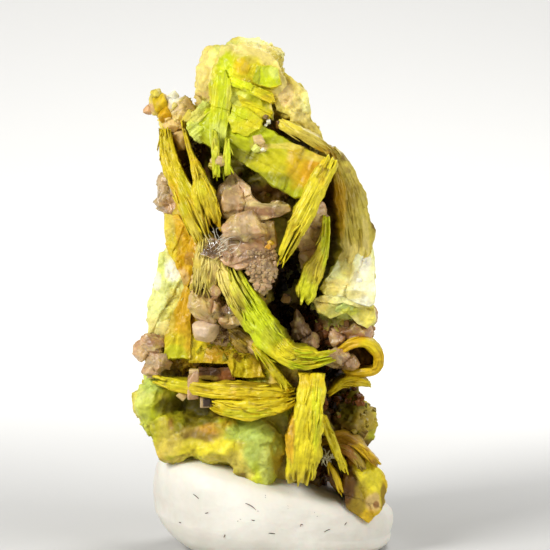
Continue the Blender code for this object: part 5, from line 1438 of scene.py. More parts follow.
# %% Table of cleaved faces
FACES = {
    "head_panel": dict(
        outline=[(-1.5, 19.85), (-0.68, 20.02), (0.0, 19.8), (0.7, 19.4), (0.92, 18.5), (0.62, 17.8),
            (0.4, 17.1), (-0.28, 17.1), (-0.96, 16.9), (-1.7, 17.2), (-2.1, 17.6), (-2.05, 18.7)],
        depth=-2.18, slope=(0.06, 0.2), thick=0.7, crown=0.3, grooves=(-27.0, 0.16, 0.02), rough=0.08,
        fray=0.15, bricks=0.06,
        steps=[(-0.5, 18.5, -27.0, 0.05), (0.0, 17.9, -27.0, -0.06), (-1.2, 18.9, 78.0, -0.08),
            (0.2, 18.1, -20.0, 0.05)],
        look=dict(low=LIME, high=LEMON, streaks=(-27.0, 0.3),
            stains=[(-0.3, 19.8, 1.1, 0.35, CREAM, 0.95), (0.5, 19.5, 0.6, 0.4, CREAM, 0.9),
                (-1.45, 18.9, 0.36, 1.2, BRIGHT_LIME, 0.8), (-1.6, 17.9, 0.45, 0.6, LEMON, 0.7),
                (-0.76, 19.1, 0.36, 0.34, GOLD, 0.9), (-0.4, 19.35, 0.25, 0.2, STRAW, 0.7),
                (-0.95, 17.75, 0.5, 0.35, PALE_GREEN, 0.5), (0.3, 18.0, 0.5, 0.2, GOLD, 0.6),
                (-0.6, 18.45, 0.5, 0.2, GOLD, 0.5), (0.85, 18.6, 0.22, 0.6, CREAM, 0.9),
                (0.7, 17.9, 0.3, 0.4, CREAM, 0.8)], rim=CREAM)),
    "lime_window": dict(
        outline=[(-0.25, 19.15), (0.36, 19.1), (0.66, 18.98), (0.74, 18.36), (0.36, 18.22), (-0.1, 18.3),
            (-0.36, 18.45)],
        depth=-2.4, slope=(0.12, 0.15), thick=0.6, crown=0.06, grooves=(60.0, 0.2, 0.01), rough=0.06,
        fray=0.08, bricks=0.02, steps=[(-0.1, 18.7, 78.0, 0.03)],
        look=dict(low=BRIGHT_LIME, high=LIME, streaks=(60.0, 0.15),
            stains=[(-0.22, 18.75, 0.16, 0.45, MOSS, 0.6), (0.55, 18.9, 0.25, 0.25, PALE_GREEN, 0.6)],
            rim=LEMON)),
    "ridge_step_high": dict(
        outline=[(-1.3, 18.8), (-0.4, 18.42), (0.5, 18.0), (0.62, 17.65), (0.35, 17.6), (-0.5, 17.95),
            (-1.25, 18.35)],
        depth=-2.34, slope=(0.1, 0.3), thick=0.6, crown=0.08, grooves=(-27.0, 0.09, 0.02), rough=0.07,
        fray=0.16, bricks=0.1,
        look=dict(low=LIME, high=LEMON, streaks=(-27.0, 0.5),
            stains=[(0.3, 17.8, 0.4, 0.2, GOLD, 0.6), (-0.9, 18.5, 0.6, 0.25, BRIGHT_LIME, 0.6)],
            rim=LEMON)),
    "ridge_step_low": dict(
        outline=[(-0.9, 17.95), (0.1, 17.5), (0.45, 17.3), (0.3, 16.92), (-0.1, 17.0), (-0.8, 17.3)],
        depth=-2.42, slope=(0.1, 0.3), thick=0.8, crown=0.05, grooves=(-24.0, 0.1, 0.025), rough=0.04,
        fray=0.08, steps=[(-0.2, 17.45, -24.0, 0.05)],
        look=dict(low=LEMON, high=LIME, streaks=(-24.0, 0.4),
            stains=[(-0.4, 17.75, 0.5, 0.1, OLIVE, 0.5), (0.35, 17.1, 0.15, 0.3, GOLD, 0.6)])),
    "large_plate": dict(
        outline=[(-1.7, 17.5), (-0.88, 17.24), (-0.16, 16.9), (1.12, 16.15), (2.5, 15.5), (2.3, 14.6),
            (1.8, 14.0), (1.3, 13.9), (0.3, 14.5), (-0.6, 15.2), (-1.25, 15.6), (-1.9, 15.85), (-2.4, 16.2),
            (-2.7, 16.7), (-2.5, 17.2), (-2.1, 17.5)],
        depth=-3.0, slope=(0.0, 0.42), thick=0.9, crown=0.12, grooves=(61.0, 0.13, 0.02), rough=0.035,
        fray=0.08,
        steps=[(1.3, 15.2, -118.0, -0.1), (0.9, 15.4, -118.0, 0.05), (-0.2, 16.2, 62.0, 0.07),
            (0.2, 15.25, -29.0, 0.08), (0.4, 16.2, -29.0, 0.05), (-0.8, 16.6, 50.0, -0.07),
            (1.75, 14.9, 61.0, -0.06)],
        look=dict(low=MOSS, high=LIME, streaks=(-29.0, 0.3),
            stains=[(0.6, 15.4, 1.0, 0.6, LEMON, 0.4), (-0.3, 15.9, 0.9, 0.4, LIME, 0.6),
                (1.75, 15.2, 0.8, 0.9, AMBER, 0.7), (2.0, 15.1, 0.5, 0.6, ORANGE, 0.5),
                (1.8, 15.6, 0.4, 0.25, STRAW, 0.5), (0.9, 15.95, 1.1, 0.12, STRAW, 0.8),
                # The olive stains at (0.2, 14.75) and (-0.7, 15.6) are partly the plate's own darker lime,
                # partly painted shade on its undercut lower edge.
                (2.1, 15.45, 0.5, 0.12, STRAW, 0.8), (0.2, 14.75, 0.9, 0.2, OLIVE, 0.4),
                (-0.3, 16.5, 0.9, 0.3, BRIGHT_LIME, 0.7), (-2.0, 16.8, 0.8, 0.7, BRIGHT_LIME, 0.6),
                (-1.5, 17.1, 0.5, 0.4, PALE_GREEN, 0.6), (-0.7, 15.6, 0.7, 0.3, OLIVE, 0.6),
                (-0.1, 15.9, 0.35, 0.2, SAND, 0.7)])),
    "head_crust_right": dict(
        outline=[(0.85, 19.0), (1.1, 18.8), (1.45, 18.45), (1.75, 18.1), (1.95, 17.6), (2.0, 17.0),
            (2.3, 16.6), (2.5, 16.1), (1.9, 16.35), (1.3, 16.75), (0.95, 17.2), (0.6, 17.4), (0.4, 17.9),
            (0.7, 18.4)],
        depth=-1.95, slope=(0.35, 0.15), thick=1.2, crown=0.4, grooves=(-50.0, 0.3, 0.02), rough=0.14,
        fray=0.1, chips=0.08,
        material=waxy_material,
        look=dict(low=CREAM, high=STRAW, streaks=(-50.0, 0.2),
            stains=[(1.5, 17.4, 0.4, 0.6, CREAM, 0.8), (0.9, 18.0, 0.3, 0.5, SAND, 0.6),
                (1.75, 17.7, 0.25, 0.5, CHALK, 0.7), (1.7, 16.7, 0.5, 0.25, KHAKI, 0.6)])),
    "left_crust": dict(
        outline=[(-4.05, 11.8), (-3.5, 11.75), (-3.25, 11.2), (-3.0, 10.76), (-3.1, 10.1), (-3.4, 9.3),
            (-3.6, 8.6), (-4.5, 8.6), (-4.55, 9.3), (-4.42, 10.0), (-4.24, 10.7), (-4.1, 11.3)],
        depth=-1.95, slope=(-0.35, 0.05), thick=0.8, crown=0.45, grooves=(70.0, 0.3, 0.02), rough=0.12,
        fray=0.1, chips=0.06, steps=[(-3.5, 10.2, 60.0, 0.1), (-3.9, 9.6, 30.0, -0.08)],
        material=waxy_material,
        look=dict(low=CHALK, high=PALE_GREEN, streaks=(70.0, 0.15),
            stains=[(-3.5, 11.1, 0.3, 0.5, WHITE, 0.95), (-4.15, 10.7, 0.2, 0.4, WHITE, 0.8),
                (-3.4, 10.0, 0.4, 0.6, STRAW, 0.7), (-3.7, 9.1, 0.3, 0.7, LEMON, 0.5),
                (-4.3, 8.9, 0.3, 0.5, CREAM, 0.7)])),
    "corner_front": dict(
        outline=[(3.32, 3.8), (3.92, 4.02), (4.4, 3.7), (4.88, 3.0), (4.9, 2.4), (4.78, 1.9), (4.64, 1.48),
            (4.24, 1.14), (3.76, 1.44), (3.32, 1.88), (3.12, 2.4), (3.16, 3.16)],
        depth=-2.9, slope=(0.3, 0.1), thick=1.1, crown=0.55, grooves=(-50.0, 0.3, 0.03), rough=0.09,
        fray=0.08, steps=[(3.7, 3.0, -64.0, 0.16), (4.3, 2.0, -20.0, 0.08), (4.45, 2.9, -70.0, -0.06)],
        look=dict(low=GOLD, high=LEMON, streaks=(-50.0, 0.2),
            # Painted shade: the brown stains at the left darken the face's rounded lower left side.
            stains=[(4.2, 3.1, 0.7, 0.8, BRIGHT_LEMON, 0.95), (3.35, 2.9, 0.45, 1.1, BROWN, 0.95),
                (3.6, 2.1, 0.4, 0.8, BROWN, 0.7), (3.95, 2.4, 0.3, 0.6, KHAKI, 0.6),
                (4.4, 2.05, 0.3, 0.4, PEACH, 0.9), (4.5, 1.95, 0.12, 0.15, RUST, 0.8),
                (4.8, 2.3, 0.14, 0.6, BROWN, 0.7), (4.3, 1.4, 0.4, 0.3, AMBER, 0.6),
                (3.65, 3.75, 0.4, 0.3, ORANGE, 0.8)])),
    "corner_side": dict(
        outline=[(2.72, 4.44), (3.32, 4.36), (3.84, 4.04), (3.6, 3.48), (3.24, 2.96), (3.12, 2.3),
            (2.72, 2.7), (2.56, 3.48), (2.48, 4.04)],
        depth=-2.35, slope=(-0.4, 0.1), thick=1.4, crown=0.2, grooves=(-35.0, 0.25, 0.03), rough=0.06,
        fray=0.05, steps=[(3.2, 3.4, -40.0, 0.08)],
        look=dict(low=BROWN, high=KHAKI, streaks=(-35.0, 0.4),
            stains=[(3.6, 3.9, 0.5, 0.3, AMBER, 0.7), (2.9, 2.9, 0.4, 0.6, RUST, 0.6)])),
    "gold_panel": dict(
        outline=[(-2.95, 8.7), (-2.3, 8.6), (-1.4, 8.5), (-0.7, 8.2), (-0.1, 7.7), (0.2, 6.9), (-0.5, 6.9),
            (-1.15, 6.95), (-1.15, 7.45), (-2.2, 7.5), (-2.9, 7.5)],
        depth=-2.36, slope=(-0.02, 0.1), thick=0.8, crown=0.1, grooves=(88.0, 0.25, 0.03), rough=0.1,
        fray=0.09, bricks=0.04,
        steps=[(-1.9, 8.0, 80.0, -0.06), (-1.1, 7.6, 88.0, 0.1), (-0.6, 7.5, 85.0, -0.1)],
        look=dict(low=GOLD, high=LEMON, streaks=(88.0, 0.3),
            stains=[(-2.5, 8.2, 0.35, 0.6, LEMON, 0.8), (-1.9, 7.9, 0.35, 0.5, ORANGE, 0.5),
                (-1.2, 8.0, 0.5, 0.35, AMBER, 0.7), (-0.85, 7.5, 0.3, 0.9, LEMON, 0.8),
                (-0.2, 7.5, 0.3, 0.6, GOLD, 0.7)])),
    "brown_cubes": dict(
        outline=[(-2.5, 7.35), (-1.9, 7.32), (-1.1, 7.36), (-1.05, 6.85), (-1.7, 6.8), (-2.5, 6.9)],
        depth=-2.35, slope=(0.02, 0.1), thick=0.8, crown=0.05, grooves=(0.0, 0.25, 0.02), rough=0.04,
        fray=0.05, bricks=0.08,
        look=dict(low=BROWN, high=RUST, streaks=(88.0, 0.3),
            stains=[(-1.35, 7.05, 0.3, 0.22, RUST, 0.9), (-2.1, 7.2, 0.5, 0.2, UMBER, 0.7),
                (-2.2, 6.9, 0.4, 0.12, KHAKI, 0.6)])),
    "striated_patch": dict(
        outline=[(-1.35, 8.9), (-0.9, 8.95), (-0.3, 8.5), (0.0, 8.0), (-0.15, 7.8), (-0.7, 7.9),
            (-1.2, 8.3)],
        depth=-2.85, slope=(0.0, 0.2), thick=0.8, crown=0.05, grooves=(-38.0, 0.1, 0.06), rough=0.06,
        fray=0.08, bricks=0.06,
        look=dict(low=BROWN, high=KHAKI, streaks=(-38.0, 0.9),
            stains=[(-0.35, 8.15, 0.25, 0.25, SAND, 0.7), (-0.9, 8.6, 0.3, 0.15, UMBER, 0.6)])),
    "amber_strip": dict(
        outline=[(-3.0, 10.6), (-2.8, 10.4), (-2.72, 9.56), (-2.76, 8.76), (-2.8, 7.7), (-3.88, 7.6),
            (-3.8, 8.56), (-3.55, 9.36), (-3.2, 10.1)],
        depth=-2.3, slope=(-0.1, 0.08), thick=0.8, crown=0.15, grooves=(80.0, 0.2, 0.02), rough=0.08,
        fray=0.08, steps=[(-3.2, 9.0, 80.0, -0.05)],
        look=dict(low=AMBER, high=GOLD, streaks=(80.0, 0.2),
            stains=[(-3.1, 9.6, 0.3, 0.9, AMBER, 0.6), (-3.6, 9.0, 0.2, 0.8, STRAW, 0.5),
                (-3.4, 8.3, 0.5, 0.5, LEMON, 0.8), (-3.3, 7.8, 0.6, 0.45, LIME, 0.8)])),
    "amber_cheek": dict(
        outline=[(-3.84, 13.4), (-3.28, 13.3), (-2.9, 12.7), (-2.66, 11.96), (-2.62, 11.4), (-2.8, 10.6),
            (-3.0, 10.3), (-3.2, 10.92), (-3.42, 11.48), (-3.7, 12.04), (-3.84, 12.68)],
        depth=-2.1, slope=(-0.2, 0.1), thick=0.9, crown=0.3, grooves=(80.0, 0.25, 0.02), rough=0.12,
        fray=0.1, steps=[(-3.2, 12.5, 70.0, 0.06)],
        material=waxy_material,
        look=dict(low=AMBER, high=GOLD, streaks=(80.0, 0.2),
            stains=[(-3.7, 12.9, 0.25, 0.7, STRAW, 0.8), (-3.5, 11.9, 0.2, 0.6, LEMON, 0.7),
                (-2.85, 11.6, 0.2, 0.3, RUST, 0.5), (-3.1, 10.8, 0.3, 0.4, SAND, 0.6),
                (-3.1, 12.7, 0.25, 0.5, AMBER, 0.5)])),
    "right_crust_high": dict(
        outline=[(3.6, 12.4), (4.05, 12.6), (4.3, 12.16), (4.42, 11.48), (4.46, 10.56), (4.42, 9.84),
            (4.16, 9.72), (3.52, 9.96), (3.04, 10.12), (2.4, 10.2), (2.24, 10.44), (2.6, 10.92),
            (2.92, 11.48), (3.24, 12.04)],
        depth=-2.75, slope=(0.0, 0.4), thick=1.1, crown=0.3, grooves=(35.0, 0.3, 0.02), rough=0.1,
        fray=0.05, chips=0.12,
        steps=[(3.5, 10.9, 80.0, -0.12), (3.3, 10.45, -12.0, -0.1), (3.9, 11.4, 60.0, 0.1)],
        material=waxy_material,
        look=dict(low=WHITE, high=CHALK, streaks=(35.0, 0.1),
            stains=[(3.3, 11.5, 0.3, 0.7, STRAW, 0.7), (2.5, 10.4, 0.5, 0.4, STRAW, 0.9),
                (3.0, 10.6, 0.5, 0.25, CREAM, 0.7), (3.5, 10.9, 0.2, 0.5, KHAKI, 0.3),
                (4.05, 11.3, 0.25, 0.5, WHITE, 0.9), (3.6, 10.2, 0.5, 0.2, STRAW, 0.6)])),
    "right_crust_ledge": dict(
        outline=[(2.0, 9.96), (2.4, 10.2), (3.0, 10.15), (3.52, 10.0), (4.42, 9.8), (4.46, 9.2),
            (4.16, 8.85), (3.72, 9.08), (3.32, 9.5), (2.72, 9.28), (2.24, 9.5)],
        depth=-2.9, slope=(0.2, 0.2), thick=1.2, crown=0.25, grooves=(-10.0, 0.3, 0.02), rough=0.1,
        fray=0.08, chips=0.1, steps=[(3.2, 9.8, -8.0, 0.15)],
        material=waxy_material,
        look=dict(low=CHALK, high=CREAM, streaks=(-10.0, 0.1),
            # The moss green along the ledge's underside is partly the crust's own green, partly painted
            # shade.
            stains=[(2.9, 9.5, 0.9, 0.3, MOSS, 0.7), (3.4, 9.6, 0.4, 0.2, LIME, 0.5),
                (4.2, 9.3, 0.35, 0.5, LEMON, 0.6), (2.3, 9.8, 0.3, 0.3, KHAKI, 0.6)])),
    "apron_band": dict(
        outline=[(-1.75, 18.7), (-1.4, 19.0), (-1.15, 18.2), (-1.2, 17.3), (-1.3, 16.5), (-1.45, 15.9),
            (-1.95, 15.95), (-2.1, 16.6), (-2.0, 17.4), (-1.95, 18.2)],
        depth=-2.66, slope=(0.05, 0.3), thick=0.5, crown=0.06, grooves=(84.0, 0.11, 0.03), rough=0.05,
        fray=0.14,
        steps=[(-1.5, 17.4, -8.0, 0.06), (-1.6, 16.8, 82.0, 0.05), (-1.4, 18.2, 80.0, -0.05)],
        look=dict(low=LIME, high=BRIGHT_LIME, streaks=(84.0, 0.15),
            stains=[(-1.7, 16.4, 0.5, 0.5, PALE_GREEN, 0.5), (-1.2, 17.6, 0.2, 0.7, STRAW, 0.4),
                (-1.85, 17.8, 0.2, 0.7, LEMON, 0.4)])),
    "apron_corner": dict(
        outline=[(-2.75, 17.35), (-2.3, 17.75), (-1.85, 17.6), (-1.7, 17.0), (-1.95, 16.35), (-2.4, 16.05),
            (-2.8, 16.35), (-2.95, 16.85)],
        depth=-2.45, slope=(0.3, 0.2), thick=0.6, crown=0.15, grooves=(40.0, 0.14, 0.03), rough=0.08,
        fray=0.12, bricks=0.05,
        steps=[(-2.3, 17.0, 40.0, 0.06), (-2.1, 16.6, -30.0, -0.05)],
        look=dict(low=LIME, high=PALE_GREEN, streaks=(40.0, 0.15),
            stains=[(-2.6, 17.2, 0.4, 0.3, STRAW, 0.6), (-2.2, 16.5, 0.4, 0.3, BRIGHT_LIME, 0.6),
                (-2.0, 17.3, 0.3, 0.3, LEMON, 0.5)])),
    "apron_flake": dict(
        outline=[(-1.1, 17.55), (-0.55, 17.35), (0.05, 16.95), (-0.1, 16.6), (-0.6, 16.35), (-1.15, 16.5),
            (-1.35, 17.0)],
        depth=-2.82, slope=(0.0, 0.3), thick=0.45, crown=0.06, grooves=(-29.0, 0.12, 0.03), rough=0.05,
        fray=0.12, bricks=0.04,
        steps=[(-0.6, 16.95, -29.0, 0.06)],
        look=dict(low=LIME, high=BRIGHT_LEMON, streaks=(-29.0, 0.2),
            stains=[(-0.9, 17.2, 0.4, 0.25, BRIGHT_LIME, 0.6), (-0.2, 16.8, 0.4, 0.2, LEMON, 0.6)])),
}

FACE_SEED = 70
for number, (face_name, face) in enumerate(FACES.items()):
    how = {key: face[key] for key in face if key not in ("look", "material")}
    face_points, face_lists, rim_share = cleaved_face(seed=number + FACE_SEED, **how)
    tint = face_tint(face_points, rim_share, number + FACE_SEED, **face["look"])
    mesh = make_mesh(face_name, face_points, face_lists, tint)
    add_piece(face_name, mesh, face.get("material", plate_material))
print("faces:", len(FACES))

# %% [markdown]
# ## Smoky quartz
#
# Quartz breaks into angular grains with greasy, slightly hollow faces. The lump formula from the mass
# serves again, with sharper edges and more points, and a fine noise for the broken surface. A lump is a
# few such grains pushed into each other. The two lumps that stand out in the middle have an outline of
# their own, so they are cleaved faces in the colours of quartz, with a few lumps behind them.

# %% Quartz lumps
QUARTZ = {
    "quartz_under_peak": [(-1.1, 13.8, -2.6, 0.6, 0.8, 0.8), (0.6, 13.6, -2.6, 0.5, 0.6, 0.25)],
    "quartz_under_centre": [(-0.7, 12.8, -3.72, 0.76, 0.5, 0.58), (-0.62, 12.1, -3.0, 0.9, 0.9, 0.8),
        (0.1, 11.2, -3.0, 0.5, 0.8, 0.7)],
    "quartz_bubble": [(-1.9, 11.95, -3.45, 0.4, 0.45, 0.4), (-1.3, 11.75, -3.75, 0.22, 0.3, 0.22)],
    "quartz_left_high": [(-3.55, 14.7, -0.6, 0.6, 0.8, 0.55), (-3.5, 13.9, -0.7, 0.62, 0.8, 0.6),
        (-3.7, 14.3, -0.9, 0.5, 0.6, 0.4)],
    "quartz_left_low": [(-4.2, 8.2, -1.7, 0.5, 0.6, 0.42), (-4.65, 7.95, -1.6, 0.32, 0.6, 0.36),
        (-4.05, 7.6, -1.9, 0.45, 0.6, 0.4), (-4.25, 7.2, -2.0, 0.35, 0.5, 0.35)],
    "quartz_tan": [(-2.3, 9.85, -2.8, 0.6, 0.7, 0.75), (-1.9, 10.4, -3.0, 0.4, 0.5, 0.4),
        (-1.8, 9.6, -2.9, 0.45, 0.5, 0.45)],
    "quartz_dark": [(-1.3, 9.6, -2.95, 0.36, 0.4, 0.26), (-1.5, 9.25, -2.8, 0.25, 0.4, 0.22)],
    "quartz_pale": [(-1.0, 9.25, -2.85, 0.5, 0.5, 0.3), (-0.75, 9.5, -2.8, 0.3, 0.4, 0.3)],
    "quartz_right": [(2.95, 7.75, -2.35, 0.5, 0.6, 0.42), (3.4, 7.5, -2.2, 0.35, 0.5, 0.3),
        (3.6, 8.75, -1.9, 0.62, 0.7, 0.42), (3.0, 8.5, -2.0, 0.4, 0.5, 0.35)],
    "quartz_behind": [(1.75, 12.6, -2.0, 0.6, 0.6, 0.7), (1.9, 11.6, -1.9, 0.5, 0.5, 0.5),
        (2.05, 13.2, -2.35, 0.5, 0.5, 0.45)],
    "quartz_cavity": [(1.5, 8.9, -1.8, 0.35, 0.4, 0.6), (1.9, 8.3, -1.9, 0.3, 0.4, 0.35),
        (1.0, 10.0, -1.4, 0.2, 0.3, 0.18)],
    "quartz_back": [(-1.9, 11.3, 3.2, 0.8, 0.7, 0.75), (-1.3, 11.8, 3.3, 0.5, 0.6, 0.5)],
    "quartz_back_low": [(2.2, 7.6, 3.0, 0.7, 0.7, 0.6), (1.7, 7.2, 3.1, 0.4, 0.5, 0.4)],
    "quartz_side": [(4.1, 9.4, 0.4, 0.5, 0.7, 0.6), (4.0, 8.8, 0.9, 0.4, 0.6, 0.4)],
}
# Across, height, half width, half height, colour, strength
QUARTZ_STAINS = [
    (-1.3, 14.2, 0.4, 0.8, SMOKE, 0.7),
    (-0.5, 14.35, 0.2, 0.6, SAND, 0.8),
    (-0.62, 13.95, 0.3, 0.15, AMBER, 0.35),
    (-0.5, 13.9, 0.5, 0.2, SAND, 0.7),
    # The cream on the ridge's top edge is partly a painted highlight, and the rust and brown under it are
    # partly painted shade.
    (0.3, 13.72, 1.0, 0.12, CREAM, 0.5),
    (0.0, 13.4, 0.8, 0.2, RUST, 0.6),
    (0.7, 13.3, 0.5, 0.12, BROWN, 0.6),
    (-1.3, 13.2, 0.35, 0.25, KHAKI, 0.5),
    # The sand at the top of the middle lump is partly its own beige and partly a painted lit top.
    (-0.3, 13.05, 0.8, 0.25, SAND, 0.95),
    (-0.95, 12.15, 0.4, 0.35, DARK_SMOKE, 0.75),
    (-1.2, 14.3, 0.35, 0.5, DARK_SMOKE, 0.25),
    (0.35, 12.8, 0.35, 0.35, SAND, 0.9),
    # The rust and rose across the middle of the middle lump are partly its own pinkish tone and partly
    # painted shade.
    (-0.35, 12.15, 0.55, 0.22, RUST, 0.7),
    (-0.6, 12.0, 0.8, 0.25, ROSE_SMOKE, 0.6),
    (-0.1, 11.6, 0.7, 0.4, DARK_SMOKE, 0.5),
    (0.1, 10.9, 0.5, 0.6, SMOKE, 0.5),
    (0.25, 12.1, 0.18, 0.14, RUST, 0.9),
    (0.4, 12.2, 0.14, 0.1, ORANGE, 0.9),
    (-1.95, 12.0, 0.3, 0.3, DARK_SMOKE, 0.9),
    (-4.1, 8.35, 0.5, 0.4, RUST, 0.6),
    (-4.7, 7.9, 0.3, 0.4, PEACH, 0.5),
    (1.8, 12.7, 0.7, 0.8, SAND, 0.6),
    (3.6, 8.7, 0.7, 0.4, RUST, 0.7),
    (3.1, 7.6, 0.6, 0.4, DARK_SMOKE, 0.5),
    (1.6, 8.8, 0.5, 0.9, DARK_SMOKE, 0.7),
    (-2.4, 9.9, 0.4, 0.6, STRAW, 0.4),
    (-2.0, 9.4, 0.4, 0.2, KHAKI, 0.4),
    (-1.35, 9.6, 0.4, 0.3, BROWN, 0.8),
    (-0.9, 9.3, 0.5, 0.3, CREAM, 0.4),
]
QUARTZ_FACES = {
    "quartz_peak": dict(
        outline=[(-1.12, 15.02), (-0.72, 14.6), (-0.44, 14.32), (-0.38, 13.96), (0.0, 13.74), (0.56, 13.56),
            (1.1, 13.7), (1.16, 13.44), (0.72, 13.2), (0.0, 13.08), (-0.64, 13.15), (-1.04, 12.9),
            (-1.6, 13.4), (-1.82, 13.96), (-1.62, 14.44)],
        depth=-3.3, slope=(-0.1, 0.25), thick=1.0, crown=0.3, grooves=(30.0, 0.3, 0.01), rough=0.04,
        fray=0.05, chips=0.1, steps=[(-0.75, 14.2, -62.0, 0.12), (-0.9, 13.5, -30.0, -0.08)]),
    "quartz_centre": dict(
        outline=[(-0.64, 13.38), (-0.16, 13.36), (0.08, 13.16), (0.5, 13.08), (0.58, 12.52), (0.56, 12.08),
            (0.4, 11.88), (0.62, 11.48), (0.56, 10.92), (0.24, 10.36), (0.08, 10.15), (-0.24, 10.4),
            (-0.48, 10.92), (-0.64, 11.2), (-1.04, 11.16), (-1.44, 11.32), (-1.68, 11.6), (-1.62, 12.1),
            (-1.5, 12.9), (-1.12, 13.28)],
        depth=-3.7, slope=(0.05, 0.3), thick=1.1, crown=0.6, grooves=(0.0, 0.3, 0.01), rough=0.08,
        fray=0.06, chips=0.12, steps=[(-0.3, 12.6, 0.0, 0.1), (0.1, 11.8, 20.0, 0.08)]),
}


def broken_grain(place, seed):
    """A lump with sharp edges, moved out along its own directions by fine noise and by small facets."""
    points, faces = faceted_lump(place, seed, rows=60, columns=90, planes=14, sharpness=26.0, longest=1.25)
    outward = unit(points - front(*place[:3]))
    chip, _ = facet_noise(points, 0.45, seed)
    relief = 0.09 * layered_noise(points, 0.45, seed, layers=5) + 0.2 * chip
    return points + outward * relief[:, None], faces


def quartz_tint(points, seed):
    """Clouds between two smoky colours, darker in the deepest of them, then the stains and a cream bloom."""
    cloud = layered_noise(points, 0.7, seed) * 0.5 + 0.5
    tint = mix(mix(SMOKE, ROSE_SMOKE, ramp(cloud, 0.3, 0.7)), DARK_SMOKE, ramp(cloud, 0.85, 1.3) * 0.5)
    tint = stained(points, tint, QUARTZ_STAINS)
    return mix(tint, CREAM, ramp(layered_noise(points, 0.22, seed + 5), 0.2, 1.1) * 0.5)


GRAIN_SEED = 200
QUARTZ_FACE_SEED = 170
quartz_pool = []
for number, (lump_name, places) in enumerate(QUARTZ.items()):
    grains = [broken_grain(place, GRAIN_SEED + 10 * number + index) for index, place in enumerate(places)]
    quartz_pool += [(grain[0], unit(grain[0] - front(*place[:3]))) for grain, place in zip(grains, places)]
    points, faces = joined(grains)
    material = clear_material if lump_name == "quartz_bubble" else quartz_material
    add_piece(lump_name, make_mesh(lump_name, points, faces, quartz_tint(points, number)), material)
for number, (lump_name, how) in enumerate(QUARTZ_FACES.items()):
    points, faces, _ = cleaved_face(seed=number + QUARTZ_FACE_SEED, **how)
    quartz_pool.append((points, np.broadcast_to(np.array(EDGES_FORWARD), points.shape)))
    mesh = make_mesh(lump_name, points, faces, quartz_tint(points, number + 40))
    add_piece(lump_name, mesh, quartz_material)
print("quartz lumps:", len(QUARTZ) + len(QUARTZ_FACES))

# %% [markdown]
# ## Loose and half-buried crystals
#
# What makes a surface read as mineral rather than as clay is the smallest size of crystal: hundreds of
# little blocks and flakes, each with a few flat faces that catch the light one by one. A dozen different
# blocks are made from a cube cut by random planes. Each is then copied to many places with its own size
# and turn, all in one array, and the places are drawn at random from the points of the surfaces above.

# %% Small crystals
BLOCK_KINDS = 12
CUTS_PER_BLOCK = 6


def cube_surface():
    """The 26 points and 24 quads of a cube whose faces are split in four."""
    grid = np.stack(np.meshgrid(*[[-1.0, 0.0, 1.0]] * 3, indexing="ij"), axis=-1).reshape(-1, 3)
    outer = np.abs(grid).max(axis=1) > 0.5
    number = np.cumsum(outer) - 1
    quads = []
    for axis in range(3):
        for side in (-1.0, 1.0):
            for u in (0, 1):
                for v in (0, 1):
                    corner = np.zeros((4, 3), int)
                    corner[:, axis] = 0 if side < 0 else 2
                    corner[:, (axis + 1) % 3] = [u, u + 1, u + 1, u]
                    corner[:, (axis + 2) % 3] = [v, v, v + 1, v + 1]
                    quad = number[corner[:, 0] * 9 + corner[:, 1] * 3 + corner[:, 2]]
                    quads.append(quad if side > 0 else quad[::-1])
    return grid[outer], np.array(quads)


def cut_blocks(kinds, seed):
    """Cubes pulled in to the nearest of a few random planes, so each has its own flat faces."""
    rng = np.random.default_rng(seed)
    points, quads = cube_surface()
    direction = unit(points)
    blocks = []
    for _ in range(kinds):
        normals = np.concatenate([np.eye(3), -np.eye(3), unit(rng.normal(size=(CUTS_PER_BLOCK, 3)))])
        distance = np.concatenate([np.full(6, 1.0), rng.uniform(0.9, 1.15, CUTS_PER_BLOCK)])
        facing = np.maximum(direction @ normals.T, 1e-6) / distance
        blocks.append(direction / facing.max(axis=1)[:, None])
    return np.array(blocks), quads


def random_turns(rng, count):
    """Rotation matrices from random unit quaternions."""
    w, x, y, z = unit(rng.normal(size=(count, 4))).T
    return np.stack([
        1 - 2 * (y * y + z * z), 2 * (x * y - z * w), 2 * (x * z + y * w),
        2 * (x * y + z * w), 1 - 2 * (x * x + z * z), 2 * (y * z - x * w),
        2 * (x * z - y * w), 2 * (y * z + x * w), 1 - 2 * (x * x + y * y),
    ], axis=-1).reshape(count, 3, 3)


block_points, block_quads = cut_blocks(BLOCK_KINDS, 5)


def scattered(pool, region, count, sizes, shape, colours, seed, lift):
    """Copies of the cut blocks at random points of the pool. The region is across, height, half width and
    half height as seen from the front, or None for everywhere; shape is the three relative sizes; and lift
    is how far a block's middle stands out of the surface, as a share of its size."""
    rng = np.random.default_rng(seed)
    points, normals = pool
    if region is None:
        fitting = np.arange(len(points))
    else:
        across, height, half_width, half_height = region
        away = np.hypot((points[:, 0] - across) / half_width, (front_height(points) - height) / half_height)
        away = away + 0.3 * smooth_noise(points, 0.5, seed)
        fitting = np.nonzero((away < 1.0) & (normals[:, 1] < 0.35) & (points[:, 1] < 0.5))[0]
    chosen = rng.choice(fitting, count)
    size = sizes[0] + (sizes[1] - sizes[0]) * rng.random(count) ** 2
    local = block_points[rng.integers(0, BLOCK_KINDS, count)] * np.asarray(shape) * size[:, None, None] / 2
    turned = np.einsum("nij,nkj->nki", random_turns(rng, count), local)
    placed = turned + (points[chosen] + normals[chosen] * size[:, None] * lift)[:, None, :]
    share = rng.random(count)
    tint = mix(colours[0], colours[1], share) * (0.85 + 0.3 * rng.random(count))[:, None]
    corner_count = placed.shape[1]
    faces = (block_quads[None] + np.arange(count)[:, None, None] * corner_count).reshape(-1, 4)
    return placed.reshape(-1, 3), faces, np.repeat(tint, corner_count, axis=0)


print("kinds of block:", len(block_points), "with quads:", len(block_quads))

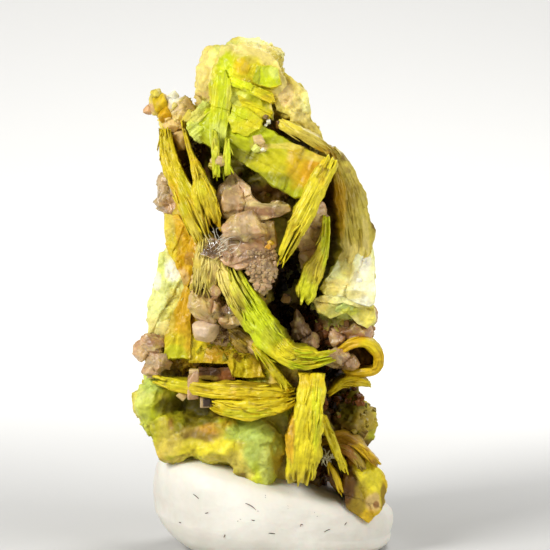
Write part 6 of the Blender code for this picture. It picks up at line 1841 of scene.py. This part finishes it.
# %% [markdown]
# ## Where the small crystals lie
#
# Each region of the mass has its own mixture: blocks in the hollows, flakes where plates have broken, and
# sticks among the fibres. Blocks on the mass are sunk in a little. The grains of quartz sugar on the
# middle lump stand out of it instead, because they lie loose.

# %% Table of small crystals
CRUMB_SEED = 300
SUGAR_SEED = 501
SUNK_IN = -0.1
STANDING_OUT = 0.1
backwards = np.nonzero(mass_points[:, 1] > 0.9)[0]
mass_pool = (mass_points, mass_normals)
back_pool = (mass_points[backwards], mass_normals[backwards])
quartz_points = np.concatenate([part[0] for part in quartz_pool])
quartz_normals = np.concatenate([part[1] for part in quartz_pool])
BLOCK, FLAKE, STICK = (1.0, 1.0, 0.8), (1.0, 0.8, 0.22), (1.6, 0.3, 0.25)

# Pool, region, count, sizes, shape, two colours
SMALL_CRYSTALS = {
    "head_crumbs": [
        (mass_pool, (0.4, 19.6, 1.0, 0.8), 120, (0.05, 0.14), BLOCK, (CREAM, CHALK)),
        (mass_pool, (2.3, 16.2, 0.5, 0.7), 50, (0.06, 0.16), BLOCK, (CREAM, STRAW)),
        (mass_pool, (-1.9, 17.0, 0.9, 0.9), 70, (0.08, 0.25), FLAKE, (PALE_GREEN, LIME)),
    ],
    "arm_crumbs": [
        (mass_pool, (-3.1, 16.9, 0.7, 0.9), 90, (0.08, 0.25), BLOCK, (PEACH, CREAM)),
        (mass_pool, (-3.0, 16.0, 0.7, 0.8), 60, (0.1, 0.3), FLAKE, (GOLD, PEACH)),
    ],
    "cavity_crumbs": [
        # The blocks in the dark hollows are painted near black and umber as shade, mixed with rust and brown
        # of their own.
        (mass_pool, (-0.1, 14.4, 1.8, 0.8), 60, (0.08, 0.25), BLOCK, (BROWN, OLIVE)),
        (mass_pool, (1.1, 9.7, 1.0, 1.8), 200, (0.08, 0.35), BLOCK, (PAINTED_SHADE_BLACK, UMBER)),
        (mass_pool, (1.8, 8.3, 1.0, 0.7), 160, (0.1, 0.4), BLOCK, (UMBER, RUST)),
        (mass_pool, (2.9, 6.4, 1.0, 1.0), 160, (0.1, 0.35), BLOCK, (PAINTED_SHADE_BLACK, RUST)),
        (mass_pool, (2.5, 3.6, 0.9, 1.0), 200, (0.1, 0.35), BLOCK, (UMBER, RUST)),
        (mass_pool, (-1.5, 7.3, 1.6, 0.5), 90, (0.1, 0.35), BLOCK, (BROWN, GOLD)),
    ],
    "left_crumbs": [
        (mass_pool, (-2.1, 10.9, 0.8, 1.3), 300, (0.06, 0.25), BLOCK, (STRAW, SAND)),
        (mass_pool, (-2.0, 10.4, 0.9, 1.7), 200, (0.2, 0.6), STICK, (STRAW, KHAKI)),
        (mass_pool, (-1.3, 8.8, 0.9, 0.7), 200, (0.08, 0.3), BLOCK, (BROWN, SAND)),
        (mass_pool, (-1.9, 7.9, 1.3, 0.5), 70, (0.15, 0.4), FLAKE, (GOLD, MOSS)),
    ],
    "right_crumbs": [
        (mass_pool, (3.0, 9.1, 1.1, 0.4), 60, (0.1, 0.35), FLAKE, (LEAF, STRAW)),
        (mass_pool, (3.6, 8.6, 0.8, 0.5), 120, (0.1, 0.3), BLOCK, (RUST, SMOKE)),
        (mass_pool, (3.8, 5.4, 0.9, 1.2), 60, (0.1, 0.3), BLOCK, (OLIVE, KHAKI)),
        (mass_pool, (2.5, 3.9, 0.5, 0.3), 60, (0.15, 0.4), STICK, (CHALK, WHITE)),
    ],
    "back_crumbs": [
        (back_pool, None, 1100, (0.08, 0.35), BLOCK, (STRAW, CREAM)),
        (back_pool, None, 400, (0.15, 0.6), FLAKE, (LIME, GOLD)),
    ],
}

for number, (group_name, rows) in enumerate(SMALL_CRYSTALS.items()):
    sets = [scattered(*row, CRUMB_SEED + 20 * number + index, SUNK_IN) for index, row in enumerate(rows)]
    points, faces = joined([(placed, [part_faces]) for placed, part_faces, _ in sets])
    tint = np.concatenate([part_tint for _, _, part_tint in sets])
    add_piece(group_name, make_mesh(group_name, points, faces, tint, smooth=False), crust_material)

sugar_region = (0.05, 11.1, 0.7, 0.9)
points, faces, tint = scattered(
    (quartz_points, quartz_normals), sugar_region, 420, (0.05, 0.22), BLOCK, (SMOKE, ROSE_SMOKE),
    SUGAR_SEED,
    STANDING_OUT)
add_piece("quartz_sugar", make_mesh("quartz_sugar", points, [faces], tint, smooth=False), quartz_material)

# %% [markdown]
# ## Single grains that one would miss
#
# A few crystals are large or bright enough that the eye goes to them: the chunks at the end of the left
# arm, a little upright prism, a dark chip in a paler frame and a few sparkling grains. They are lumps as
# before, each with a place, a size and a colour of its own. One with fewer than four cutting planes is
# nearly a box, so it stands upright.

# %% Single grains
# Across, height, depth, half sizes across, in depth and in height, number of cutting planes, colour
SINGLE_GRAINS = {
    "arm_grains": [
        (-3.98, 17.75, -1.0, 0.3, 0.35, 0.42, 8, GOLD), (-4.15, 18.1, -0.9, 0.22, 0.3, 0.22, 6, STRAW),
        (-3.78, 17.3, -1.1, 0.28, 0.35, 0.36, 8, AMBER), (-3.48, 18.02, -0.85, 0.22, 0.3, 0.2, 8, WHITE),
        (-3.42, 17.6, -1.25, 0.16, 0.22, 0.16, 8, CREAM),
        (-4.45, 17.5, -0.8, 0.2, 0.25, 0.2, 8, ROSE_SMOKE),
        (-3.1, 17.5, -1.1, 0.4, 0.4, 0.4, 8, PEACH), (-3.5, 16.9, -1.1, 0.35, 0.4, 0.35, 8, PEACH),
        (-2.8, 17.0, -1.5, 0.35, 0.4, 0.4, 8, STRAW), (-3.2, 16.3, -1.3, 0.3, 0.35, 0.35, 8, PEACH),
    ],
    "pebble": [(-2.22, 8.78, -2.95, 0.54, 0.5, 0.44, 16, PALE_ROSE)],
    "prism": [
        (-2.68, 6.66, -3.05, 0.24, 0.28, 0.6, 3, ROSE_SMOKE),
        (-2.64, 7.17, -3.05, 0.2, 0.22, 0.14, 3, SAND),
        (-3.1, 6.25, -2.85, 0.2, 0.25, 0.2, 5, PEACH), (-2.95, 6.55, -2.8, 0.14, 0.2, 0.14, 5, PEACH),
    ],
    "framed_chip": [(-2.16, 6.0, -3.0, 0.26, 0.2, 0.26, 2, SMOKE),
        (-2.14, 6.0, -3.12, 0.18, 0.14, 0.18, 2, UMBER)],
    "sparkling_grains": [
        # The two white grains here are partly pale grains and partly a painted glint of the quartz there.
        (0.28, 16.92, -2.55, 0.09, 0.15, 0.08, 6, WHITE), (0.16, 16.78, -2.6, 0.07, 0.15, 0.06, 6, WHITE),
        (0.15, 17.1, -2.4, 0.12, 0.2, 0.1, 6, DARK_SMOKE), (0.72, 16.8, -2.5, 0.18, 0.2, 0.16, 3, BROWN),
        (-0.1, 16.15, -3.02, 0.24, 0.2, 0.2, 9, SAND), (-0.2, 15.85, -3.05, 0.18, 0.2, 0.16, 9, PALE_GREEN),
        (0.05, 15.8, -3.15, 0.1, 0.15, 0.08, 7, WHITE),
        (-1.66, 15.4, -3.35, 0.3, 0.3, 0.27, 16, SAND), (-1.9, 15.2, -2.8, 0.14, 0.2, 0.14, 8, STRAW),
        (-1.25, 9.5, -3.3, 0.06, 0.1, 0.05, 6, WHITE),
        (0.25, 12.05, -4.1, 0.12, 0.12, 0.1, 6, ORANGE), (0.35, 12.2, -4.1, 0.1, 0.1, 0.08, 6, AMBER),
        (4.05, 11.5, -2.2, 0.14, 0.2, 0.18, 6, WHITE), (3.75, 10.6, -2.6, 0.18, 0.2, 0.26, 3, WHITE),
    ],
}
SINGLE_SEED = 700
FEWEST_CUTS = 4
for number, (group_name, grains) in enumerate(SINGLE_GRAINS.items()):
    parts, tints = [], []
    for index, (*place, planes, colour) in enumerate(grains):
        part = faceted_lump(
            place, SINGLE_SEED + 20 * number + index, rows=24, columns=36, planes=planes, sharpness=40.0,
            upright=planes < FEWEST_CUTS, longest=1.5)
        parts.append(part)
        cloud = layered_noise(part[0], 0.2, index) * 0.5 + 0.5
        tints.append(colour * (0.9 + 0.2 * cloud)[:, None])
    mesh = make_mesh(group_name, *joined(parts), np.concatenate(tints))
    add_piece(group_name, mesh, waxy_material if group_name == "arm_grains" else quartz_material)

# %% [markdown]
# ## Needles and fibres
#
# Needles are thin tubes that taper. The yellow ones stand below the head, and tangles of pale fibres, some
# as fine as hair, lie over the quartz and at the foot. Each is a slightly bent line with a circle of six
# points round it, because at this size no one could count its sides.

# %% Needles
NEEDLE_STATIONS = 12


def needles(starts, ends, thickness, bend, seed):
    """Six-sided tubes from start to end, bowed sideways by a half sine wave and tapered to both ends."""
    rng = np.random.default_rng(seed)
    count = len(starts)
    step = np.linspace(0.0, 1.0, NEEDLE_STATIONS)[None, :, None]
    along = unit(ends - starts)
    side = unit(np.cross(along, unit(rng.normal(size=(count, 3)))))
    up = np.cross(along, side)
    middle = starts[:, None] + (ends - starts)[:, None] * step
    middle = middle + side[:, None] * np.sin(math.pi * step) * bend * rng.normal(size=(count, 1, 1))
    angle = -np.arange(TUBE_SIDES) / TUBE_SIDES * 2 * math.pi
    radius = thickness / 2 * (0.15 + 0.85 * np.sin(math.pi * np.clip(step, 0.03, 0.97)) ** 0.5)
    circle = side[:, None, None] * np.cos(angle)[:, None] + up[:, None, None] * np.sin(angle)[:, None]
    points = middle[:, :, None] + circle * radius[..., None]
    return points.reshape(-1, 3), tube_faces(count, NEEDLE_STATIONS)


def needle_bunch(box_low, box_high, direction, wander, lengths, count, thickness, bend, seed):
    """Needles that start anywhere in a box, given as seen from the front, and run roughly one way."""
    rng = np.random.default_rng(seed)
    start = rng.uniform(box_low, box_high, (count, 3))
    heading = unit(np.asarray(direction) + wander * rng.normal(size=(count, 3)))
    end = start + heading * rng.uniform(*lengths, (count, 1))
    return needles(front(*start.T), front(*end.T), thickness, bend, seed)


# Lowest and highest corner as across, height, depth; then direction, wander, lengths, count and so on
NEEDLE_BUNCHES = {
    "standing_needles": (dict(box_low=(-1.95, 14.6, -2.9), box_high=(-1.3, 15.1, -2.6),
        direction=(-0.05, 1.0, 0.1), wander=0.06, lengths=(0.6, 1.5), count=6, thickness=0.1, bend=0.05),
        BRIGHT_LIME),
    "white_fibres": (dict(box_low=(-1.9, 11.6, -3.9), box_high=(-1.3, 12.5, -3.7),
        direction=(0.5, 0.6, -0.1), wander=0.7, lengths=(0.3, 0.8), count=30, thickness=0.018, bend=0.1),
        WHITE),
    "foot_fibres": (dict(box_low=(2.25, 3.75, -3.3), box_high=(2.75, 3.95, -3.0),
        direction=(0.3, 0.1, -0.5), wander=0.5, lengths=(0.2, 0.45), count=60, thickness=0.035, bend=0.03),
        WHITE),
    "tan_fibres": (dict(box_low=(-2.6, 10.2, -3.5), box_high=(-1.5, 11.6, -3.3),
        direction=(0.15, 0.9, -0.1), wander=0.3, lengths=(0.3, 0.7), count=50, thickness=0.05, bend=0.05),
        CREAM),
}
NEEDLE_SEED = 800
for number, (bunch_name, (how, colour)) in enumerate(NEEDLE_BUNCHES.items()):
    points, faces = needle_bunch(seed=NEEDLE_SEED + number, **how)
    tint = colour * (0.75 + 0.3 * (layered_noise(points, 0.4, number) * 0.5 + 0.5))[:, None]
    add_piece(bunch_name, make_mesh(bunch_name, points, [faces], tint), plate_material)

# %% [markdown]
# ## The tack
#
# A pinch of tack is kneaded soft, pressed flat below and pushed up round the specimen above. A side
# outline is carried round, made a little uneven by two waves, and lowered towards the right, where the
# thumb pressed it thin. Slow noise dents it, and none of it reaches the flat foot.

# %% Tack pad
# Share of the half width, share of the height
TACK_SIDE = [
    (0.0, 0.0), (0.72, 0.0), (0.88, 0.1), (0.97, 0.26), (1.0, 0.46),
    (0.998, 0.64), (0.97, 0.8), (0.88, 0.92), (0.6, 1.0), (0.0, 1.04),
]
TACK_HALF_WIDTH = 4.7
TACK_HALF_DEPTH = 4.2
TACK_MIDDLE = 0.4
TACK_FOOT_SHIFT = 0.55
TACK_HEIGHT_LEFT = 4.6
TACK_HEIGHT_RIGHT = 1.9
TACK_PALE = screen_colour(226, 222, 210)
TACK_GREYISH = screen_colour(208, 203, 190)
TACK_TOP = 3.4
TACK_HEART = 1.6


def tack_pad(rows=100, columns=220):
    """The side outline gives the share of the half width and of the height. The height itself falls from
    left to right, and the foot is moved a little to the right of the top."""
    side = through(TACK_SIDE, np.linspace(0.012, 0.988, rows))
    share = np.clip(side[:, 0], 0.0, 1.01)[:, None]
    rise = np.clip(side[:, 1], 0.0, 1.05)[:, None]
    angle = np.linspace(0.0, 2 * math.pi, columns, endpoint=False)[None, :]
    above = ramp(rise, 0.0, 0.1)
    uneven = 1.0 + (0.035 * np.sin(2 * angle + 0.7) + 0.02 * np.sin(3 * angle + 2.0)) * above
    shift = TACK_FOOT_SHIFT * (1.0 - np.clip(rise * 3, 0.0, 1.0))
    x = TACK_MIDDLE + shift + TACK_HALF_WIDTH * share * uneven * np.cos(angle)
    y = TACK_HALF_DEPTH * share * uneven * np.sin(angle)
    across = np.clip((x - TACK_MIDDLE + TACK_HALF_WIDTH) / (2 * TACK_HALF_WIDTH), 0.0, 1.0)
    height = TACK_HEIGHT_LEFT + (TACK_HEIGHT_RIGHT - TACK_HEIGHT_LEFT) * across
    points = np.stack([x, y, rise * height], axis=-1).reshape(-1, 3)
    outward = unit(points - np.array([TACK_MIDDLE, 0.0, TACK_HEART]))
    dents = 0.1 * layered_noise(points, 1.8, 90, layers=2) + 0.012 * layered_noise(points, 0.3, 91)
    points = points + outward * (dents * ramp(points[:, 2], 0.0, 0.5))[:, None]
    points[:, 2] = np.maximum(points[:, 2], 0.0)
    poles = np.array([[TACK_MIDDLE + TACK_FOOT_SHIFT, 0.0, 0.0], [TACK_MIDDLE, 0.0, TACK_TOP]])
    return np.concatenate([points, poles]), [grid_faces(rows, columns, wrap=True), fan_faces(rows, columns)]


def tack_finish():
    """Off-white, matt, with slow greyish clouds, a little scattering and a kneaded bump."""
    material, shader, nodes, links = new_finish("mineral_tack")
    cloud = object_noise(nodes, links, 1.2, detail=4.0)
    fine = object_noise(nodes, links, 0.08, detail=4.0)
    blend = nodes.new("ShaderNodeMix")
    blend.data_type = "RGBA"
    blend.inputs["A"].default_value = (*TACK_PALE, 1.0)
    blend.inputs["B"].default_value = (*TACK_GREYISH, 1.0)
    links.new(spread(nodes, links, cloud, 0.0, 1.0, low=0.35), blend.inputs["Factor"])
    links.new(blend.outputs["Result"], shader.inputs["Base Color"])
    links.new(spread(nodes, links, fine, 0.55, 0.75), shader.inputs["Roughness"])
    add_bump(nodes, links, shader, fine, strength=0.5, depth=0.02)
    shader.inputs["Subsurface Weight"].default_value = 0.2
    shader.inputs["Subsurface Scale"].default_value = 0.5 * MM
    return material


tack_points, tack_faces = tack_pad()
add_piece("tack_pad", make_mesh("tack_pad", tack_points, tack_faces), tack_finish(), TACK)

# %% [markdown]
# ## Dust on the tack
#
# The tack has picked up dark specks and a few lint hairs. Each is given as it is seen from the front, and
# both its ends are moved to the nearest point of the pad's front skin. A hair is a needle that lies there,
# and a speck is a very short one.

# %% Dust and hairs
HAIR_THICKNESS = 0.032
HAIR_BEND = 0.03
HAIR_LIFT = np.array([0.0, -0.01, 0.0])
SHORTEST_HAIR = 0.05
SHORT_HAIR_REACH = np.array([0.07, 0.0, 0.03])
DUST_SEED = 950
# Across, height, length, direction in degrees
DUST = [
    (1.12, 2.48, 0.12, 20.0), (1.05, 1.92, 0.16, 80.0), (-0.28, 1.45, 0.1, 10.0), (1.6, 1.2, 0.12, 40.0),
    (-2.6, 2.3, 0.3, -35.0), (-2.2, 1.65, 0.14, 15.0), (-0.9, 1.42, 0.2, 30.0), (-0.5, 1.96, 0.45, -30.0),
    (-0.2, 1.8, 0.2, -20.0), (2.1, 1.6, 0.18, -60.0), (2.6, 0.95, 0.3, 25.0), (0.4, 0.9, 0.25, -10.0),
    (-1.5, 0.8, 0.16, 60.0), (-3.2, 1.2, 0.12, 0.0), (3.3, 1.2, 0.14, 35.0), (0.1, 2.35, 0.1, 90.0),
]


def on_tack(across, height):
    """The point of the pad's front skin that the front view shows nearest to this place."""
    away = np.hypot(tack_points[:, 0] - across, front_height(tack_points) - height)
    behind = tack_points[:, 1] > 0.0
    return tack_points[np.argmin(np.where(behind, np.inf, away))]


starts, ends = [], []
for across, height, length, direction in DUST:
    reach_x = length / 2 * math.cos(math.radians(direction))
    reach_z = length / 2 * math.sin(math.radians(direction))
    starts.append(on_tack(across - reach_x, height - reach_z) + HAIR_LIFT)
    ends.append(on_tack(across + reach_x, height + reach_z) + HAIR_LIFT)
starts, ends = np.array(starts), np.array(ends)
short = np.linalg.norm(ends - starts, axis=1) < SHORTEST_HAIR
ends[short] += SHORT_HAIR_REACH
dust_points, dust_faces = needles(starts, ends, HAIR_THICKNESS, HAIR_BEND, DUST_SEED)
dust_tint = np.broadcast_to(UMBER, dust_points.shape)
dust_mesh = make_mesh("tack_dust", dust_points, [dust_faces], dust_tint)
add_piece("tack_dust", dust_mesh, crust_material, TACK)

# %% [markdown]
# ## Floor and light
#
# The specimen stands on a plain pale floor whose rim rises, so that no edge of it shows behind. A disc
# worked out like every grid above does that, and it has one grey and no pattern, which leaves the eye to
# the crystals.

# %% Floor
FLOOR_HALF_WIDTH = 240.0
FLOOR_FLAT_PART = 90.0
FLOOR_RISE = 100.0


def floor_bowl(rows=60, columns=96):
    """A disc that is level in the middle and curves up towards its rim, so no horizon shows."""
    radius = np.linspace(0.0, 1.0, rows)[1:, None] * FLOOR_HALF_WIDTH
    angle = np.linspace(0.0, 2 * math.pi, columns, endpoint=False)[None, :]
    past_flat = np.maximum(radius - FLOOR_FLAT_PART, 0.0)
    rise = FLOOR_RISE * (past_flat / (FLOOR_HALF_WIDTH - FLOOR_FLAT_PART)) ** 2
    points = np.stack(np.broadcast_arrays(radius * np.cos(angle), radius * np.sin(angle), rise), axis=-1)
    points = np.concatenate([points.reshape(-1, 3), [[0.0, 0.0, 0.0]]])
    column = np.arange(columns)
    centre = np.stack([np.full(columns, len(points) - 1), column, (column + 1) % columns], axis=-1)
    return points, [grid_faces(rows - 1, columns, wrap=True)[:, ::-1], centre]


floor_points, floor_faces = floor_bowl()
floor_mesh = make_mesh("floor", floor_points, floor_faces)
floor = bpy.data.objects.new("floor", floor_mesh)
bpy.context.scene.collection.objects.link(floor)
floor_material, floor_shader, _, _ = new_finish("pale_floor")
floor_shader.inputs["Base Color"].default_value = (*screen_colour(196, 195, 192), 1.0)
floor_shader.inputs["Roughness"].default_value = 0.9
floor_mesh.materials.append(floor_material)
print("floor faces:", len(floor_mesh.polygons))

# %% [markdown]
# ## Light
#
# A large soft key light stands at the upper left and a weaker one at the right. A third behind draws the
# outline, a fourth lights only the rising floor, and a pale surround fills the rest. The key is what models
# the books: it crosses their edges at a slant, so each plate throws a thin shadow on the next.

# %% Lights
def area_light(name, place, size, power, aim=None):
    """A square soft light at a place in millimetres, turned to the middle of the specimen or to its aim."""
    data = bpy.data.lights.new(name, "AREA")
    data.size = size * MM
    data.energy = power
    light = bpy.data.objects.new(name, data)
    place = np.array(place)
    light.location = place * MM
    beam = (VIEW_MIDDLE if aim is None else np.array(aim)) - place
    flat = math.hypot(beam[0], beam[1])
    light.rotation_euler = (math.atan2(flat, -beam[2]), 0.0, math.atan2(-beam[0], beam[1]))
    bpy.context.scene.collection.objects.link(light)
    print(name, "light, width", size, "mm, power", power)


area_light("key", (-70.0, -70.0, 70.0), 45.0, 0.15)
area_light("fill", (80.0, -60.0, 50.0), 60.0, 0.06)
area_light("back", (40.0, 60.0, 90.0), 50.0, 0.07)
area_light("backdrop", (0.0, 60.0, 90.0), 80.0, 0.2, aim=(0.0, 200.0, 0.0))
world = bpy.data.worlds.new("surround")
world.use_nodes = True
world.node_tree.nodes["Background"].inputs["Color"].default_value = (*screen_colour(214, 216, 220), 1.0)
world.node_tree.nodes["Background"].inputs["Strength"].default_value = 0.25
bpy.context.scene.world = world
